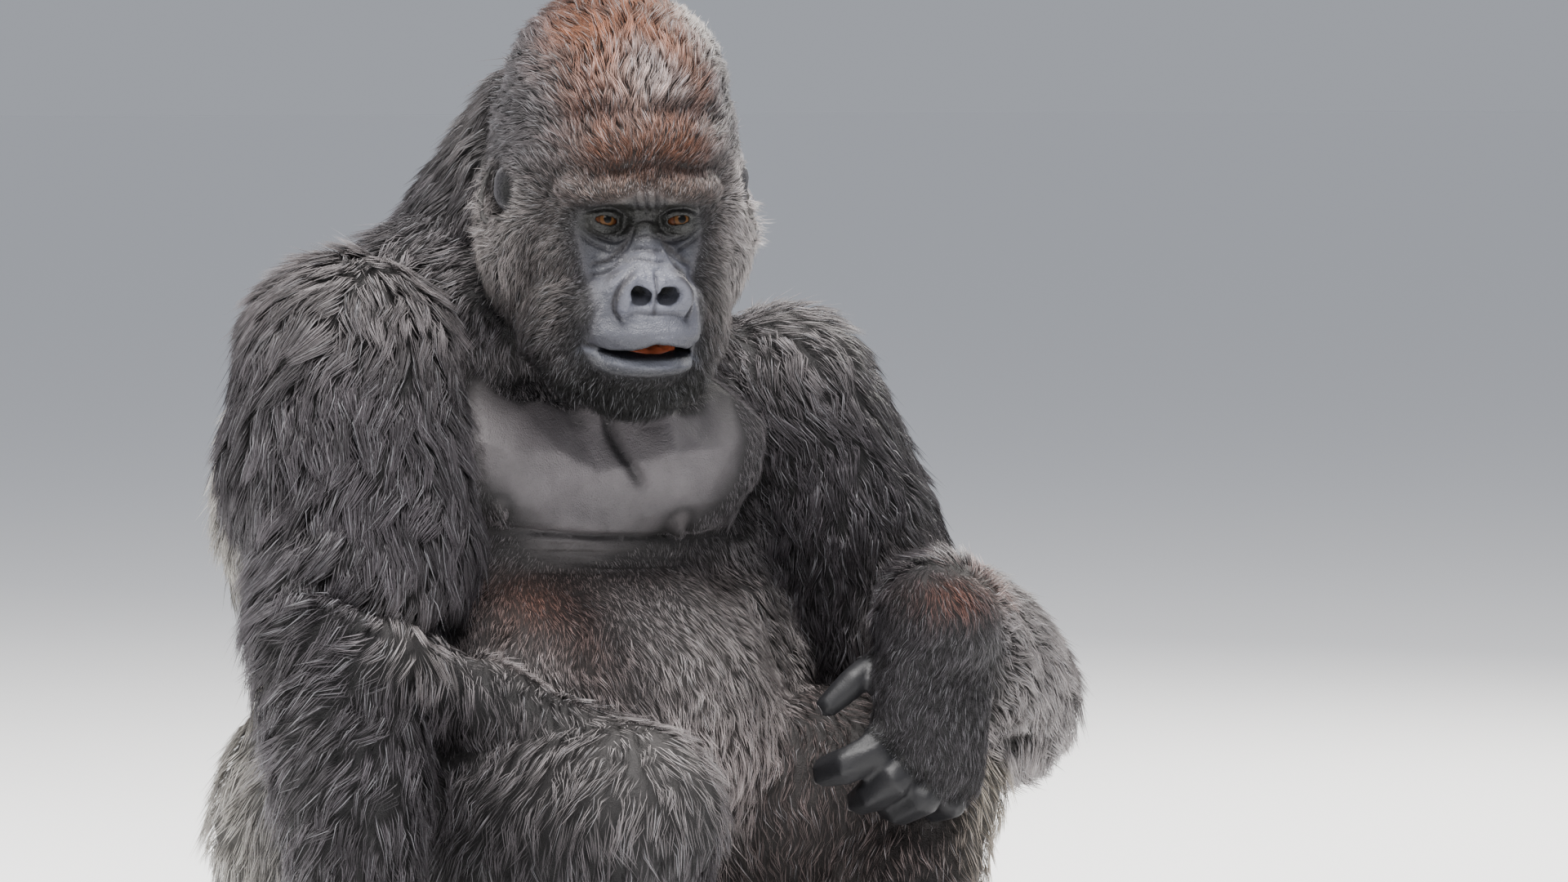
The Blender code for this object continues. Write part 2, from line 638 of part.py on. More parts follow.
def part_leg(word, leg):
    """Thigh and foot come off the shin."""
    hip, knee, ankle = HIP[word], KNEE[word], ANKLE[word]
    upward = (hip - knee).normalized() - (ankle - knee).normalized()
    part_off(leg, f"thigh_{word}", knee, upward, FUR)
    downward = (ankle - knee).normalized()
    part_off(leg, f"foot_{word}", ankle + Vector((0, 0, 0.006)), downward + Vector((0, 0, -1)), SKIN)


# ---- The whole gorilla ----
def stand_on_origin():
    """Moves everything so that the middle of the bounding box's floor is the origin."""
    points = [obj.matrix_world @ vertex.co for obj in gorilla.objects for vertex in obj.data.vertices]
    middle = [(min(p[axis] for p in points) + max(p[axis] for p in points)) / 2 for axis in range(2)]
    lowest = min(p.z for p in points)
    shift = Matrix.Translation((-middle[0], -middle[1], -lowest))
    for obj in gorilla.objects:
        obj.data.transform(shift)
    print("moved by", [round(value, 4) for value in shift.translation])


def finish_off():
    """Smooth shading with sharp rims where parts are cut."""
    for obj in gorilla.objects:
        obj.data.shade_smooth()
        obj.data.set_sharp_from_angle(angle=math.radians(50))


def main():
    """Builds the gorilla from the head down, then parts what was built whole."""
    trunk = build_trunk(*build_head())
    left_arm, left_fingers = build_arm("left", trunk)
    right_arm, _ = build_arm("right", trunk)
    left_leg = build_leg("left", [trunk, left_arm, *left_fingers])
    right_leg = build_leg("right", [trunk, right_arm, left_leg])
    part_arm("left", left_arm)
    part_arm("right", right_arm)
    part_leg("left", left_leg)
    part_leg("right", right_leg)
    part_trunk(trunk)
    finish_off()
    stand_on_origin()


for leftover in list(bpy.data.objects):
    bpy.data.objects.remove(leftover)
gorilla = bpy.data.collections.new("seated_gorilla")
cutters = bpy.data.collections.new("cutters")
for collection in (gorilla, cutters):
    bpy.context.scene.collection.children.link(collection)
main()
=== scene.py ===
"""Looks of a life-size seated silverback gorilla: one skin with a worked face, eyes, nails and a coat.

Metres, +Z up. The gorilla faces -Y, its left side is +X and the floor is z = 0.
"""

import logging
import math
from collections.abc import Callable, Iterable, Sequence
from dataclasses import dataclass, field
from enum import Enum

import bmesh
import bpy
import numpy as np
from mathutils import Matrix, Vector
from mathutils.bvhtree import BVHTree
from mathutils.kdtree import KDTree

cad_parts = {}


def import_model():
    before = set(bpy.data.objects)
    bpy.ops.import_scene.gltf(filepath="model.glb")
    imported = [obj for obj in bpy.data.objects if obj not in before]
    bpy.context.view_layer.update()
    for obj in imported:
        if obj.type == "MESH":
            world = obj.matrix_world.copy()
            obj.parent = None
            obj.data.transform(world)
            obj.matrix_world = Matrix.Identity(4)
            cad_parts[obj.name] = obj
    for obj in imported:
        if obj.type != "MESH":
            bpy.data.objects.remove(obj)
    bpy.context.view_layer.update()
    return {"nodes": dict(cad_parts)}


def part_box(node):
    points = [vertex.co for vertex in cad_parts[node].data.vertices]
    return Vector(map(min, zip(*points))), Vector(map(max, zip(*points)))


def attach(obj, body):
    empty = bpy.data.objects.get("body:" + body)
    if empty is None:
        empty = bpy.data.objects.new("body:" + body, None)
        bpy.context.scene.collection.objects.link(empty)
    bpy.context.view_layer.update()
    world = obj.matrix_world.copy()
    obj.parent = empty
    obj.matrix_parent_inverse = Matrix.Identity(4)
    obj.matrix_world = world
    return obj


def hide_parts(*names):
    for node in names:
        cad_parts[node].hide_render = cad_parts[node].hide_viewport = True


LOG = logging.getLogger("gorilla")

Point = tuple[float, float, float]
Colour = tuple[float, float, float]
Array = np.ndarray

SIDES = {"right": -1.0, "left": 1.0}
FINGERS = ("index_finger", "middle_finger", "ring_finger", "little_finger", "thumb")
TOES = ("big_toe", "second_toe", "third_toe", "fourth_toe", "little_toe")
SEED = 4711


# ---- Small arithmetic on arrays ----
def unit(vectors: Array) -> Array:
    """Vectors of length one.

    Args:
        vectors: Rows of three numbers.

    Returns:
        The same directions with length one.
    """
    length = np.linalg.norm(vectors, axis=-1, keepdims=True)
    return vectors / np.maximum(length, 1e-9)


def ramp(values: Array, low: float, high: float) -> Array:
    """A smooth step from 0 at low to 1 at high.

    Args:
        values: Where to read the step.
        low: Value with result 0.
        high: Value with result 1, which may lie below low.

    Returns:
        Shares from 0 to 1.
    """
    share = np.clip((values - low) / (high - low), 0.0, 1.0)
    return share * share * (3.0 - 2.0 * share)


def bell(points: Array, centre: Sequence[float], reach: Sequence[float] | float) -> Array:
    """A soft spot: 1 at the centre, falling off over the reach.

    Args:
        points: Rows of coordinates.
        centre: Middle of the spot.
        reach: Distance to the spot's flank, one number or one for each axis.

    Returns:
        One weight for each point.
    """
    away = (points - np.asarray(centre)) / np.asarray(reach)
    return np.exp(-(away * away).sum(axis=1))


def waves(points: Array, wavelength: float, seed: int) -> Array:
    """Smooth noise made of crossing waves.

    Args:
        points: Rows of coordinates.
        wavelength: Rough distance between crests.
        seed: Chooses the waves.

    Returns:
        One value for each point, about -1 to 1.
    """
    rng = np.random.default_rng(seed)
    total = np.zeros(len(points))
    count = 7
    for _ in range(count):
        heading = unit(rng.normal(size=3)) * 2 * math.pi / (wavelength * rng.uniform(0.7, 1.5))
        total += np.sin(points @ heading + rng.uniform(0, 2 * math.pi))
    return total / math.sqrt(count)


def stroke_distance(flat: Array, path: Sequence[tuple[float, float]]) -> tuple[Array, Array]:
    """Distance from points to a drawn line in one plane, and how far along the line each lies.

    Args:
        flat: Rows of two coordinates.
        path: Corners of the line in the same plane.

    Returns:
        The distances, and shares from 0 at the line's start to 1 at its end.
    """
    best = np.full(len(flat), np.inf)
    along = np.zeros(len(flat))
    corners = np.asarray(path)
    steps = len(corners) - 1
    for place, (start, end) in enumerate(zip(corners, corners[1:])):
        run = end - start
        share = np.clip(((flat - start) @ run) / (run @ run), 0.0, 1.0)
        gap = np.linalg.norm(flat - start - share[:, None] * run, axis=1)
        nearer = gap < best
        best[nearer] = gap[nearer]
        along[nearer] = (place + share[nearer]) / steps
    return best, along


def rounded(path: Sequence[tuple[float, float]], rounds: int = 2) -> list[tuple[float, float]]:
    """Cuts a line's corners, which turns it into a smooth curve.

    Args:
        path: Corners of the line.
        rounds: How often each corner is cut.

    Returns:
        More corners, with the ends kept.
    """
    points = [np.asarray(point, float) for point in path]
    for _ in range(rounds):
        cut = [points[0]]
        for start, end in zip(points, points[1:]):
            cut += [start * 0.75 + end * 0.25, start * 0.25 + end * 0.75]
        points = [*cut, points[-1]]
    return [tuple(point) for point in points]


# ---- Meshes ----
def read_points(mesh: bpy.types.Mesh) -> Array:
    """The mesh's vertices as rows of three numbers."""
    flat = np.empty(len(mesh.vertices) * 3, np.float32)
    mesh.vertices.foreach_get("co", flat)
    return flat.reshape(-1, 3).astype(float)


def read_normals(mesh: bpy.types.Mesh) -> Array:
    """The mesh's vertex normals as rows of three numbers."""
    flat = np.empty(len(mesh.vertices) * 3, np.float32)
    mesh.vertex_normals.foreach_get("vector", flat)
    return flat.reshape(-1, 3).astype(float)


def read_edges(mesh: bpy.types.Mesh) -> Array:
    """The mesh's edges as rows of two vertex numbers."""
    flat = np.empty(len(mesh.edges) * 2, np.int32)
    mesh.edges.foreach_get("vertices", flat)
    return flat.reshape(-1, 2)


def read_triangles(mesh: bpy.types.Mesh) -> Array:
    """The mesh's triangles as rows of three vertex numbers."""
    mesh.calc_loop_triangles()
    flat = np.empty(len(mesh.loop_triangles) * 3, np.int32)
    mesh.loop_triangles.foreach_get("vertices", flat)
    return flat.reshape(-1, 3)


def write_points(mesh: bpy.types.Mesh, points: Array) -> None:
    """Gives the mesh's vertices new places."""
    mesh.vertices.foreach_set("co", points.astype(np.float32).ravel())
    mesh.update()


def write_colour(mesh: bpy.types.Mesh, name: str, colours: Array) -> None:
    """Stores a colour for each vertex.

    Args:
        mesh: Mesh that gets the attribute.
        name: Attribute that the material reads.
        colours: Rows of red, green and blue.
    """
    layer = mesh.attributes.new(name, "FLOAT_COLOR", "POINT")
    full = np.ones((len(colours), 4), np.float32)
    full[:, :3] = np.clip(colours, 0.0, 1.0)
    layer.data.foreach_set("color", full.ravel())


def write_number(mesh: bpy.types.Mesh, name: str, values: Array) -> None:
    """Stores a number for each vertex, under the name that the material reads."""
    layer = mesh.attributes.new(name, "FLOAT", "POINT")
    layer.data.foreach_set("value", values.astype(np.float32))


def spread(values: Array, edges: Array, rounds: int) -> Array:
    """Evens values out between neighbouring vertices.

    Args:
        values: One number or row for each vertex.
        edges: Rows of two vertex numbers.
        rounds: How often each vertex takes its neighbours' mean.

    Returns:
        The smoothed values.
    """
    rows = values.reshape(len(values), -1).astype(float)
    first, second = edges[:, 0], edges[:, 1]
    count = np.bincount(edges.ravel(), minlength=len(rows)).astype(float)
    for _ in range(rounds):
        total = np.stack(
            [
                np.bincount(first, rows[second, axis], len(rows))
                + np.bincount(second, rows[first, axis], len(rows))
                for axis in range(rows.shape[1])
            ],
            axis=1,
        )
        rows = 0.5 * rows + 0.5 * total / np.maximum(count, 1.0)[:, None]
    return rows.reshape(values.shape)


def select_only(obj: bpy.types.Object) -> None:
    """Makes the object the only selected and the active one."""
    for other in bpy.context.selected_objects:
        other.select_set(False)
    obj.select_set(True)
    bpy.context.view_layer.objects.active = obj


def object_of(name: str, mesh: bpy.types.Mesh) -> bpy.types.Object:
    """A new object in the scene that holds the mesh."""
    obj = bpy.data.objects.new(name, mesh)
    bpy.context.scene.collection.objects.link(obj)
    return obj


def object_from_form(name: str, form: bmesh.types.BMesh) -> bpy.types.Object:
    """A new object in the scene made of the form, which is freed."""
    mesh = bpy.data.meshes.new(name)
    form.to_mesh(mesh)
    form.free()
    return object_of(name, mesh)


def apply_modifiers(obj: bpy.types.Object) -> None:
    """Applies every modifier of the object, first to last."""
    select_only(obj)
    for modifier in list(obj.modifiers):
        bpy.ops.object.modifier_apply(modifier=modifier.name)


def remesh(obj: bpy.types.Object, voxel: float, relax: int) -> None:
    """Turns overlapping shells into one closed surface.

    Args:
        obj: Object to work on.
        voxel: Edge of the voxels.
        relax: Rounds of smoothing afterwards.
    """
    wrap = obj.modifiers.new("one skin", "REMESH")
    wrap.mode = "VOXEL"
    wrap.voxel_size = voxel
    if relax:
        smooth = obj.modifiers.new("soft creases", "SMOOTH")
        smooth.factor = 0.5
        smooth.iterations = relax
    apply_modifiers(obj)


def refine(obj: bpy.types.Object, chosen: Callable[[Array], Array]) -> None:
    """Splits the faces of one region in four, so that it can hold fine folds.

    Args:
        obj: Object to work on.
        chosen: Tells from the places of vertices which of them are in the region.
    """
    inside = chosen(read_points(obj.data))
    form = bmesh.new()
    form.from_mesh(obj.data)
    edges = [edge for edge in form.edges if inside[edge.verts[0].index] and inside[edge.verts[1].index]]
    bmesh.ops.subdivide_edges(form, edges=edges, cuts=1, use_grid_fill=True)
    bmesh.ops.triangulate(form, faces=[face for face in form.faces if len(face.verts) > 4])
    form.to_mesh(obj.data)
    form.free()


def combine(obj: bpy.types.Object, other: bpy.types.Object, operation: str) -> None:
    """Joins another closed mesh to the object, or cuts it out, and removes the other.

    Args:
        obj: Object that stays.
        other: Object that is used up.
        operation: UNION or DIFFERENCE.
    """
    boolean = obj.modifiers.new("combine", "BOOLEAN")
    boolean.operation = operation
    boolean.solver = "MANIFOLD"
    boolean.object = other
    apply_modifiers(obj)
    bpy.data.objects.remove(other)


def thin_out(obj: bpy.types.Object, triangles: int, keep: Array) -> None:
    """Collapses edges down to about this many triangles, last where the weights are high.

    Args:
        obj: Object to work on.
        triangles: Triangles to leave.
        keep: One weight from 0 to 1 for each vertex.
    """
    group = obj.vertex_groups.new(name="keep")
    levels = np.round(keep * 10).astype(int)
    for level in range(1, 11):
        members = np.flatnonzero(levels == level)
        if len(members):
            group.add(members.tolist(), level / 10, "REPLACE")
    obj.data.calc_loop_triangles()
    decimate = obj.modifiers.new("fewer faces", "DECIMATE")
    decimate.ratio = min(1.0, triangles / len(obj.data.loop_triangles))
    decimate.vertex_group = group.name
    decimate.invert_vertex_group = True
    decimate.vertex_group_factor = 4.0
    decimate.use_collapse_triangulate = True
    apply_modifiers(obj)
    obj.vertex_groups.clear()


# ---- Where things are ----
@dataclass
class HeadFrame:
    """The head's own frame: x to its left, -y out of the face, z up, zero midway between the ears.

    Attributes:
        nod: How far the face hangs down, in degrees.
        eye_depth: From the ear line forward to the centres of the eyes.
        eye_rise: Height of the eyes over the ear line.
    """

    nod: float = 14.0
    eye_depth: float = 0.1035
    eye_rise: float = -0.001
    matrix: Matrix = field(init=False)

    def __post_init__(self) -> None:
        """Reads the head's place and turn off the eyes."""
        right, left = (self._middle(f"eye_{word}") for word in SIDES)
        across = left - right
        turn = Matrix.Rotation(math.atan2(across.y, across.x), 4, "Z")
        turn = turn @ Matrix.Rotation(math.radians(self.nod), 4, "X")
        ahead = turn @ Vector((0.0, -self.eye_depth, self.eye_rise))
        self.matrix = Matrix.Translation((right + left) / 2 - ahead) @ turn

    @staticmethod
    def _middle(node: str) -> Vector:
        """The middle of a node's box."""
        low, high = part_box(node)
        return (low + high) / 2

    def into(self, points: Array) -> Array:
        """Points of the row frame, seen in the head's frame."""
        inverse = np.array(self.matrix.inverted())
        return points @ inverse[:3, :3].T + inverse[:3, 3]

    def out(self, points: Array) -> Array:
        """Points of the head's frame, in the row frame."""
        matrix = np.array(self.matrix)
        return points @ matrix[:3, :3].T + matrix[:3, 3]

    def turned(self, directions: Array) -> Array:
        """Directions of the head's frame, in the row frame."""
        return directions @ np.array(self.matrix)[:3, :3].T


class Part(Enum):
    """The parts of the body whose coats are combed apart."""

    HEAD = 0
    NECK = 1
    TRUNK = 2
    ARM_RIGHT = 3
    ARM_LEFT = 4
    LEG_RIGHT = 5
    LEG_LEFT = 6
    HAND_RIGHT = 7
    HAND_LEFT = 8
    FOOT_RIGHT = 9
    FOOT_LEFT = 10
    DIGIT = 11
    EAR = 12


def part_of_node(node: str) -> Part:
    """The part of the body that a node belongs to."""
    side = node.rsplit("_", 1)[-1].upper()
    if node in ("head", "jaw"):
        return Part.HEAD
    if node.startswith("ear_"):
        return Part.EAR
    if node == "neck":
        return Part.NECK
    if node in ("chest", "abdomen"):
        return Part.TRUNK
    if node.startswith(("upper_arm", "forearm")):
        return Part[f"ARM_{side}"]
    if node.startswith(("thigh", "shin")):
        return Part[f"LEG_{side}"]
    if node.startswith("hand"):
        return Part[f"HAND_{side}"]
    if node.startswith("foot"):
        return Part[f"FOOT_{side}"]
    return Part.DIGIT


class NodeFinder:
    """Tells which node of flesh a point lies nearest to."""

    def __init__(self, nodes: dict[str, bpy.types.Object], flesh: Sequence[str]) -> None:
        """Joins the nodes' triangles into one search tree.

        Args:
            nodes: The frame's nodes.
            flesh: Names of the nodes to search.
        """
        points, faces, owner = [], [], []
        for number, name in enumerate(flesh):
            start = len(points)
            mesh = nodes[name].data
            points += [tuple(vertex.co) for vertex in mesh.vertices]
            triangles = read_triangles(mesh) + start
            faces += [tuple(corners) for corners in triangles.tolist()]
            owner += [number] * len(triangles)
        self.flesh = list(flesh)
        self.owner = np.asarray(owner)
        self.tree = BVHTree.FromPolygons(points, faces)

    def nearest(self, points: Array) -> Array:
        """Numbers, in the list of flesh, of the nodes nearest to the points."""
        find = self.tree.find_nearest
        return self.owner[[find(point)[2] for point in points.tolist()]]


# ---- How the coat is combed ----
@dataclass(frozen=True)
class Comb:
    """One stroke of the comb.

    Attributes:
        part: Part of the body that it combs.
        at: Where it is.
        towards: Which way the hair runs.
        length: Length of the hair.
        reach: How far round the place it counts.
        lift: How far the hair stands off the skin, in degrees.
    """

    part: Part
    at: Point
    towards: Point
    length: float
    reach: float = 0.07
    lift: float = 22.0


HEAD_COMBS = (
    # place, direction, length, reach, lift; strokes off the middle count on both sides
    ((0.0, -0.128, 0.034), (0.0, 0.1, 1.0), 0.004, 0.018, 20.0),
    ((0.036, -0.126, 0.038), (0.5, 0.1, 0.8), 0.0045, 0.022, 20.0),
    ((0.074, -0.09, 0.03), (0.8, 0.3, 0.6), 0.007, 0.024, 22.0),
    ((0.0, -0.115, 0.062), (0.0, 0.4, 1.0), 0.015, 0.026, 28.0),
    ((0.05, -0.095, 0.07), (0.35, 0.5, 0.8), 0.018, 0.032, 26.0),
    ((0.0, -0.092, 0.115), (0.0, 0.6, 0.8), 0.024, 0.04, 26.0),
    ((0.06, -0.055, 0.125), (0.4, 0.8, 0.5), 0.024, 0.04, 24.0),
    ((0.0, -0.02, 0.185), (0.0, 1.0, 0.1), 0.03, 0.05, 22.0),
    ((0.085, 0.01, 0.12), (0.3, 1.0, -0.3), 0.026, 0.045, 22.0),
    ((0.0, 0.12, 0.15), (0.0, 0.8, -0.6), 0.036, 0.06, 20.0),
    ((0.0, 0.17, 0.05), (0.0, 0.2, -1.0), 0.044, 0.06, 20.0),
    ((0.11, 0.01, 0.07), (0.1, 1.0, -0.5), 0.024, 0.035, 22.0),
    ((0.1, -0.055, 0.05), (0.4, 0.9, 0.0), 0.018, 0.03, 24.0),
    ((0.118, 0.05, 0.01), (0.1, 0.9, -0.6), 0.03, 0.04, 22.0),
    ((0.11, -0.04, -0.02), (0.4, 0.7, -0.6), 0.018, 0.03, 24.0),
    ((0.12, 0.01, -0.06), (0.3, 0.5, -0.9), 0.028, 0.04, 26.0),
    ((0.082, -0.085, -0.03), (0.6, 0.5, -0.7), 0.011, 0.022, 24.0),
    ((0.084, -0.085, -0.075), (0.5, 0.3, -0.9), 0.015, 0.028, 24.0),
    ((0.095, -0.05, -0.12), (0.4, 0.4, -1.0), 0.028, 0.035, 26.0),
    ((0.06, -0.11, -0.135), (0.5, 0.1, -1.0), 0.018, 0.026, 24.0),
    ((0.0, -0.15, -0.15), (0.0, 0.1, -1.0), 0.012, 0.026, 22.0),
    ((0.0, -0.13, -0.18), (0.0, 0.5, -1.0), 0.024, 0.03, 26.0),
    ((0.05, -0.08, -0.18), (0.3, 0.6, -1.0), 0.03, 0.035, 26.0),
)
BODY_COMBS = {
    Part.NECK: (
        ((-0.225, 0.06, 0.78), (-0.3, 0.5, -1.0), 0.046),
        ((0.045, 0.08, 0.78), (0.3, 0.5, -1.0), 0.046),
        ((-0.09, 0.19, 0.84), (0.0, 0.6, -1.0), 0.05),
        ((-0.2, -0.06, 0.74), (-0.3, 0.2, -1.0), 0.034),
        ((0.05, -0.05, 0.74), (0.3, 0.2, -1.0), 0.034),
    ),
    Part.TRUNK: (
        ((-0.09, 0.3, 0.7), (0.0, 0.3, -1.0), 0.052, 0.1),
        ((-0.26, 0.11, 0.74), (-0.6, 0.2, -0.8), 0.046),
        ((0.1, 0.12, 0.72), (0.6, 0.2, -0.8), 0.046),
        # back and rump
        ((-0.09, 0.38, 0.56), (0.0, 0.1, -1.0), 0.044, 0.1, 20.0),
        ((-0.28, 0.3, 0.56), (-0.2, 0.2, -1.0), 0.046, 0.1, 22.0),
        ((0.11, 0.3, 0.56), (0.2, 0.2, -1.0), 0.046, 0.1, 22.0),
        ((-0.09, 0.4, 0.35), (0.0, 0.1, -1.0), 0.042, 0.1, 20.0),
        ((-0.31, 0.23, 0.36), (-0.2, 0.1, -1.0), 0.046, 0.1, 24.0),
        ((0.15, 0.24, 0.36), (0.2, 0.1, -1.0), 0.046, 0.1, 24.0),
        ((-0.3, 0.28, 0.15), (-0.4, 0.3, -1.0), 0.052, 0.1, 28.0),
        ((0.13, 0.28, 0.15), (0.4, 0.3, -1.0), 0.052, 0.1, 26.0),
        # chest, nearly bare
        ((-0.07, -0.03, 0.65), (0.0, 0.0, -1.0), 0.005, 0.09),
        ((-0.16, -0.06, 0.57), (-0.2, 0.0, -1.0), 0.004, 0.08),
        ((0.03, -0.06, 0.56), (0.2, 0.0, -1.0), 0.004, 0.08),
        ((-0.07, -0.06, 0.53), (0.0, 0.0, -1.0), 0.004, 0.06),
        ((-0.07, -0.04, 0.465), (0.0, 0.0, -1.0), 0.006, 0.05),
        ((-0.15, -0.03, 0.465), (-0.2, 0.0, -1.0), 0.006, 0.04),
        ((0.03, -0.02, 0.47), (0.2, 0.0, -1.0), 0.006, 0.04),
        ((0.105, 0.02, 0.56), (0.5, 0.1, -1.0), 0.016, 0.05),
        ((-0.23, -0.03, 0.48), (-0.4, 0.1, -1.0), 0.02, 0.04),
        # belly
        ((-0.07, -0.08, 0.4), (0.1, -0.1, -1.0), 0.015, 0.06),
        ((0.03, -0.06, 0.39), (0.3, -0.1, -1.0), 0.024, 0.06),
        ((-0.18, -0.06, 0.39), (-0.1, -0.2, -1.0), 0.026, 0.05, 30.0),
        ((-0.06, -0.11, 0.31), (0.2, -0.1, -1.0), 0.028, 0.07, 26.0),
        ((-0.03, -0.11, 0.2), (0.2, 0.1, -1.0), 0.034, 0.08, 26.0),
        ((0.11, 0.0, 0.39), (0.3, -0.1, -1.0), 0.03, 0.06, 24.0),
        ((0.08, -0.01, 0.27), (0.1, 0.1, -1.0), 0.034, 0.08, 26.0),
        ((0.135, 0.06, 0.48), (0.2, 0.1, -1.0), 0.03, 0.06),
    ),
    Part.ARM_RIGHT: (
        ((-0.37, 0.05, 0.74), (-0.7, 0.0, -0.7), 0.046, 0.08, 20.0),
        ((-0.3, -0.08, 0.68), (-0.1, -0.2, -1.0), 0.048, 0.08, 20.0),
        ((-0.3, -0.11, 0.56), (-0.25, 0.0, -1.0), 0.05, 0.08, 20.0),
        ((-0.43, 0.02, 0.6), (-0.1, 0.1, -1.0), 0.054, 0.08, 22.0),
        ((-0.33, 0.17, 0.6), (0.0, 0.2, -1.0), 0.056, 0.08, 22.0),
        ((-0.21, -0.06, 0.5), (0.0, -0.1, -1.0), 0.04, 0.06, 24.0),
        ((-0.3, -0.12, 0.47), (-0.5, 0.0, -0.8), 0.046, 0.05, 26.0),
        ((-0.42, 0.0, 0.44), (-0.1, 0.2, -1.0), 0.056, 0.07, 24.0),
        ((-0.34, 0.07, 0.42), (0.0, 0.4, -1.0), 0.056, 0.07, 26.0),
        ((-0.36, -0.13, 0.42), (-0.9, 0.1, 0.1), 0.044, 0.04, 32.0),
        ((-0.29, -0.11, 0.4), (-0.6, 0.0, -0.7), 0.042, 0.04, 30.0),
        ((-0.43, -0.08, 0.34), (-0.5, 0.3, -0.5), 0.05, 0.06, 28.0),
        ((-0.37, -0.15, 0.3), (-0.6, 0.1, -0.7), 0.044, 0.06, 26.0),
        ((-0.31, -0.12, 0.26), (0.3, 0.1, -1.0), 0.042, 0.06, 26.0),
        ((-0.4, -0.02, 0.24), (-0.3, 0.8, -0.4), 0.054, 0.07, 28.0),
        ((-0.38, -0.15, 0.16), (-0.4, 0.2, -1.0), 0.034, 0.05, 22.0),
        ((-0.375, -0.13, 0.09), (-0.1, -0.3, -1.0), 0.024, 0.05, 22.0),
    ),
    Part.ARM_LEFT: (
        ((0.19, 0.08, 0.71), (0.6, 0.0, -0.8), 0.042, 0.07, 20.0),
        ((0.17, -0.01, 0.64), (0.3, -0.1, -1.0), 0.04, 0.07, 20.0),
        ((0.29, 0.06, 0.61), (0.4, 0.1, -1.0), 0.048, 0.07, 20.0),
        ((0.2, -0.03, 0.54), (0.1, -0.1, -1.0), 0.044, 0.07, 20.0),
        ((0.34, 0.07, 0.49), (0.5, 0.1, -1.0), 0.05, 0.07, 22.0),
        ((0.25, 0.16, 0.52), (0.2, 0.3, -1.0), 0.052, 0.08, 22.0),
        ((0.18, 0.01, 0.44), (0.1, -0.2, -1.0), 0.042, 0.06, 22.0),
        ((0.4, 0.12, 0.33), (0.4, 0.6, -0.7), 0.052, 0.08, 26.0),
        ((0.175, -0.15, 0.45), (-0.8, 0.2, 0.5), 0.034, 0.05, 30.0),
        ((0.23, -0.12, 0.48), (-0.2, 0.5, 0.7), 0.038, 0.05, 28.0),
        ((0.29, -0.17, 0.45), (0.7, 0.3, -0.1), 0.032, 0.05, 22.0),
        ((0.34, -0.08, 0.42), (0.8, 0.5, -0.4), 0.04, 0.05, 22.0),
        ((0.31, -0.17, 0.37), (0.6, 0.3, -0.8), 0.038, 0.05, 22.0),
        ((0.39, -0.05, 0.33), (0.6, 0.5, -0.8), 0.044, 0.06, 24.0),
        ((0.37, -0.07, 0.25), (0.4, 0.4, -1.0), 0.046, 0.06, 28.0),
        ((0.15, -0.13, 0.37), (-0.4, 0.6, -0.5), 0.028, 0.04, 26.0),
    ),
    Part.HAND_LEFT: (
        ((0.2, -0.245, 0.42), (0.2, -0.1, -1.0), 0.02, 0.04, 18.0),
        ((0.15, -0.24, 0.37), (-0.4, 0.0, -1.0), 0.016, 0.04, 16.0),
        ((0.24, -0.23, 0.36), (0.3, 0.1, -1.0), 0.02, 0.04, 18.0),
        ((0.17, -0.24, 0.31), (0.0, 0.0, -1.0), 0.013, 0.04, 16.0),
    ),
    Part.DIGIT: (
        ((0.168, -0.2, 0.312), (-0.6, -0.1, -0.8), 0.022, 0.016, 20.0),
        ((0.19, -0.205, 0.284), (-0.4, -0.1, -0.9), 0.022, 0.016, 20.0),
        ((0.212, -0.205, 0.262), (-0.1, 0.0, -1.0), 0.02, 0.015, 20.0),
        ((0.238, -0.195, 0.256), (0.1, 0.1, -1.0), 0.02, 0.015, 20.0),
        ((0.172, -0.15, 0.372), (-0.8, 0.0, -0.3), 0.02, 0.012, 20.0),
        ((0.125, -0.19, 0.272), (-1.0, 0.0, -0.5), 0.0, 0.014),
        ((0.148, -0.195, 0.25), (-1.0, 0.0, -0.5), 0.0, 0.014),
        ((0.18, -0.195, 0.23), (-1.0, 0.0, -0.5), 0.0, 0.014),
        ((0.22, -0.18, 0.224), (-1.0, 0.0, -0.5), 0.0, 0.014),
        ((0.125, -0.155, 0.345), (-1.0, 0.0, -0.5), 0.0, 0.02),
        ((-0.39, -0.3, 0.03), (0.0, -1.0, -0.5), 0.0, 0.09),
        ((0.0, -0.15, 0.03), (0.0, -1.0, -0.5), 0.0, 0.09),
        ((0.2, -0.3, 0.03), (0.0, -1.0, -0.5), 0.0, 0.09),
    ),
    Part.HAND_RIGHT: (
        ((-0.39, -0.19, 0.09), (-0.1, -1.0, -0.3), 0.016, 0.06, 16.0),
    ),
    Part.FOOT_RIGHT: (
        ((0.0, -0.02, 0.08), (0.6, -0.7, -0.3), 0.012, 0.06, 16.0),
    ),
    Part.FOOT_LEFT: (
        ((0.2, -0.2, 0.08), (0.4, -0.9, -0.3), 0.012, 0.06, 16.0),
    ),
    Part.LEG_RIGHT: (
        ((-0.2, -0.06, 0.33), (-0.2, -0.3, -1.0), 0.042, 0.06, 26.0),
        ((-0.15, -0.18, 0.33), (-0.2, -0.4, -0.7), 0.036, 0.06, 24.0),
        ((-0.21, -0.22, 0.23), (-0.3, 0.0, -1.0), 0.044, 0.07, 26.0),
        ((-0.11, -0.3, 0.26), (0.2, -0.2, -1.0), 0.036, 0.05, 24.0),
        ((-0.06, -0.23, 0.18), (0.3, 0.1, -1.0), 0.04, 0.07, 24.0),
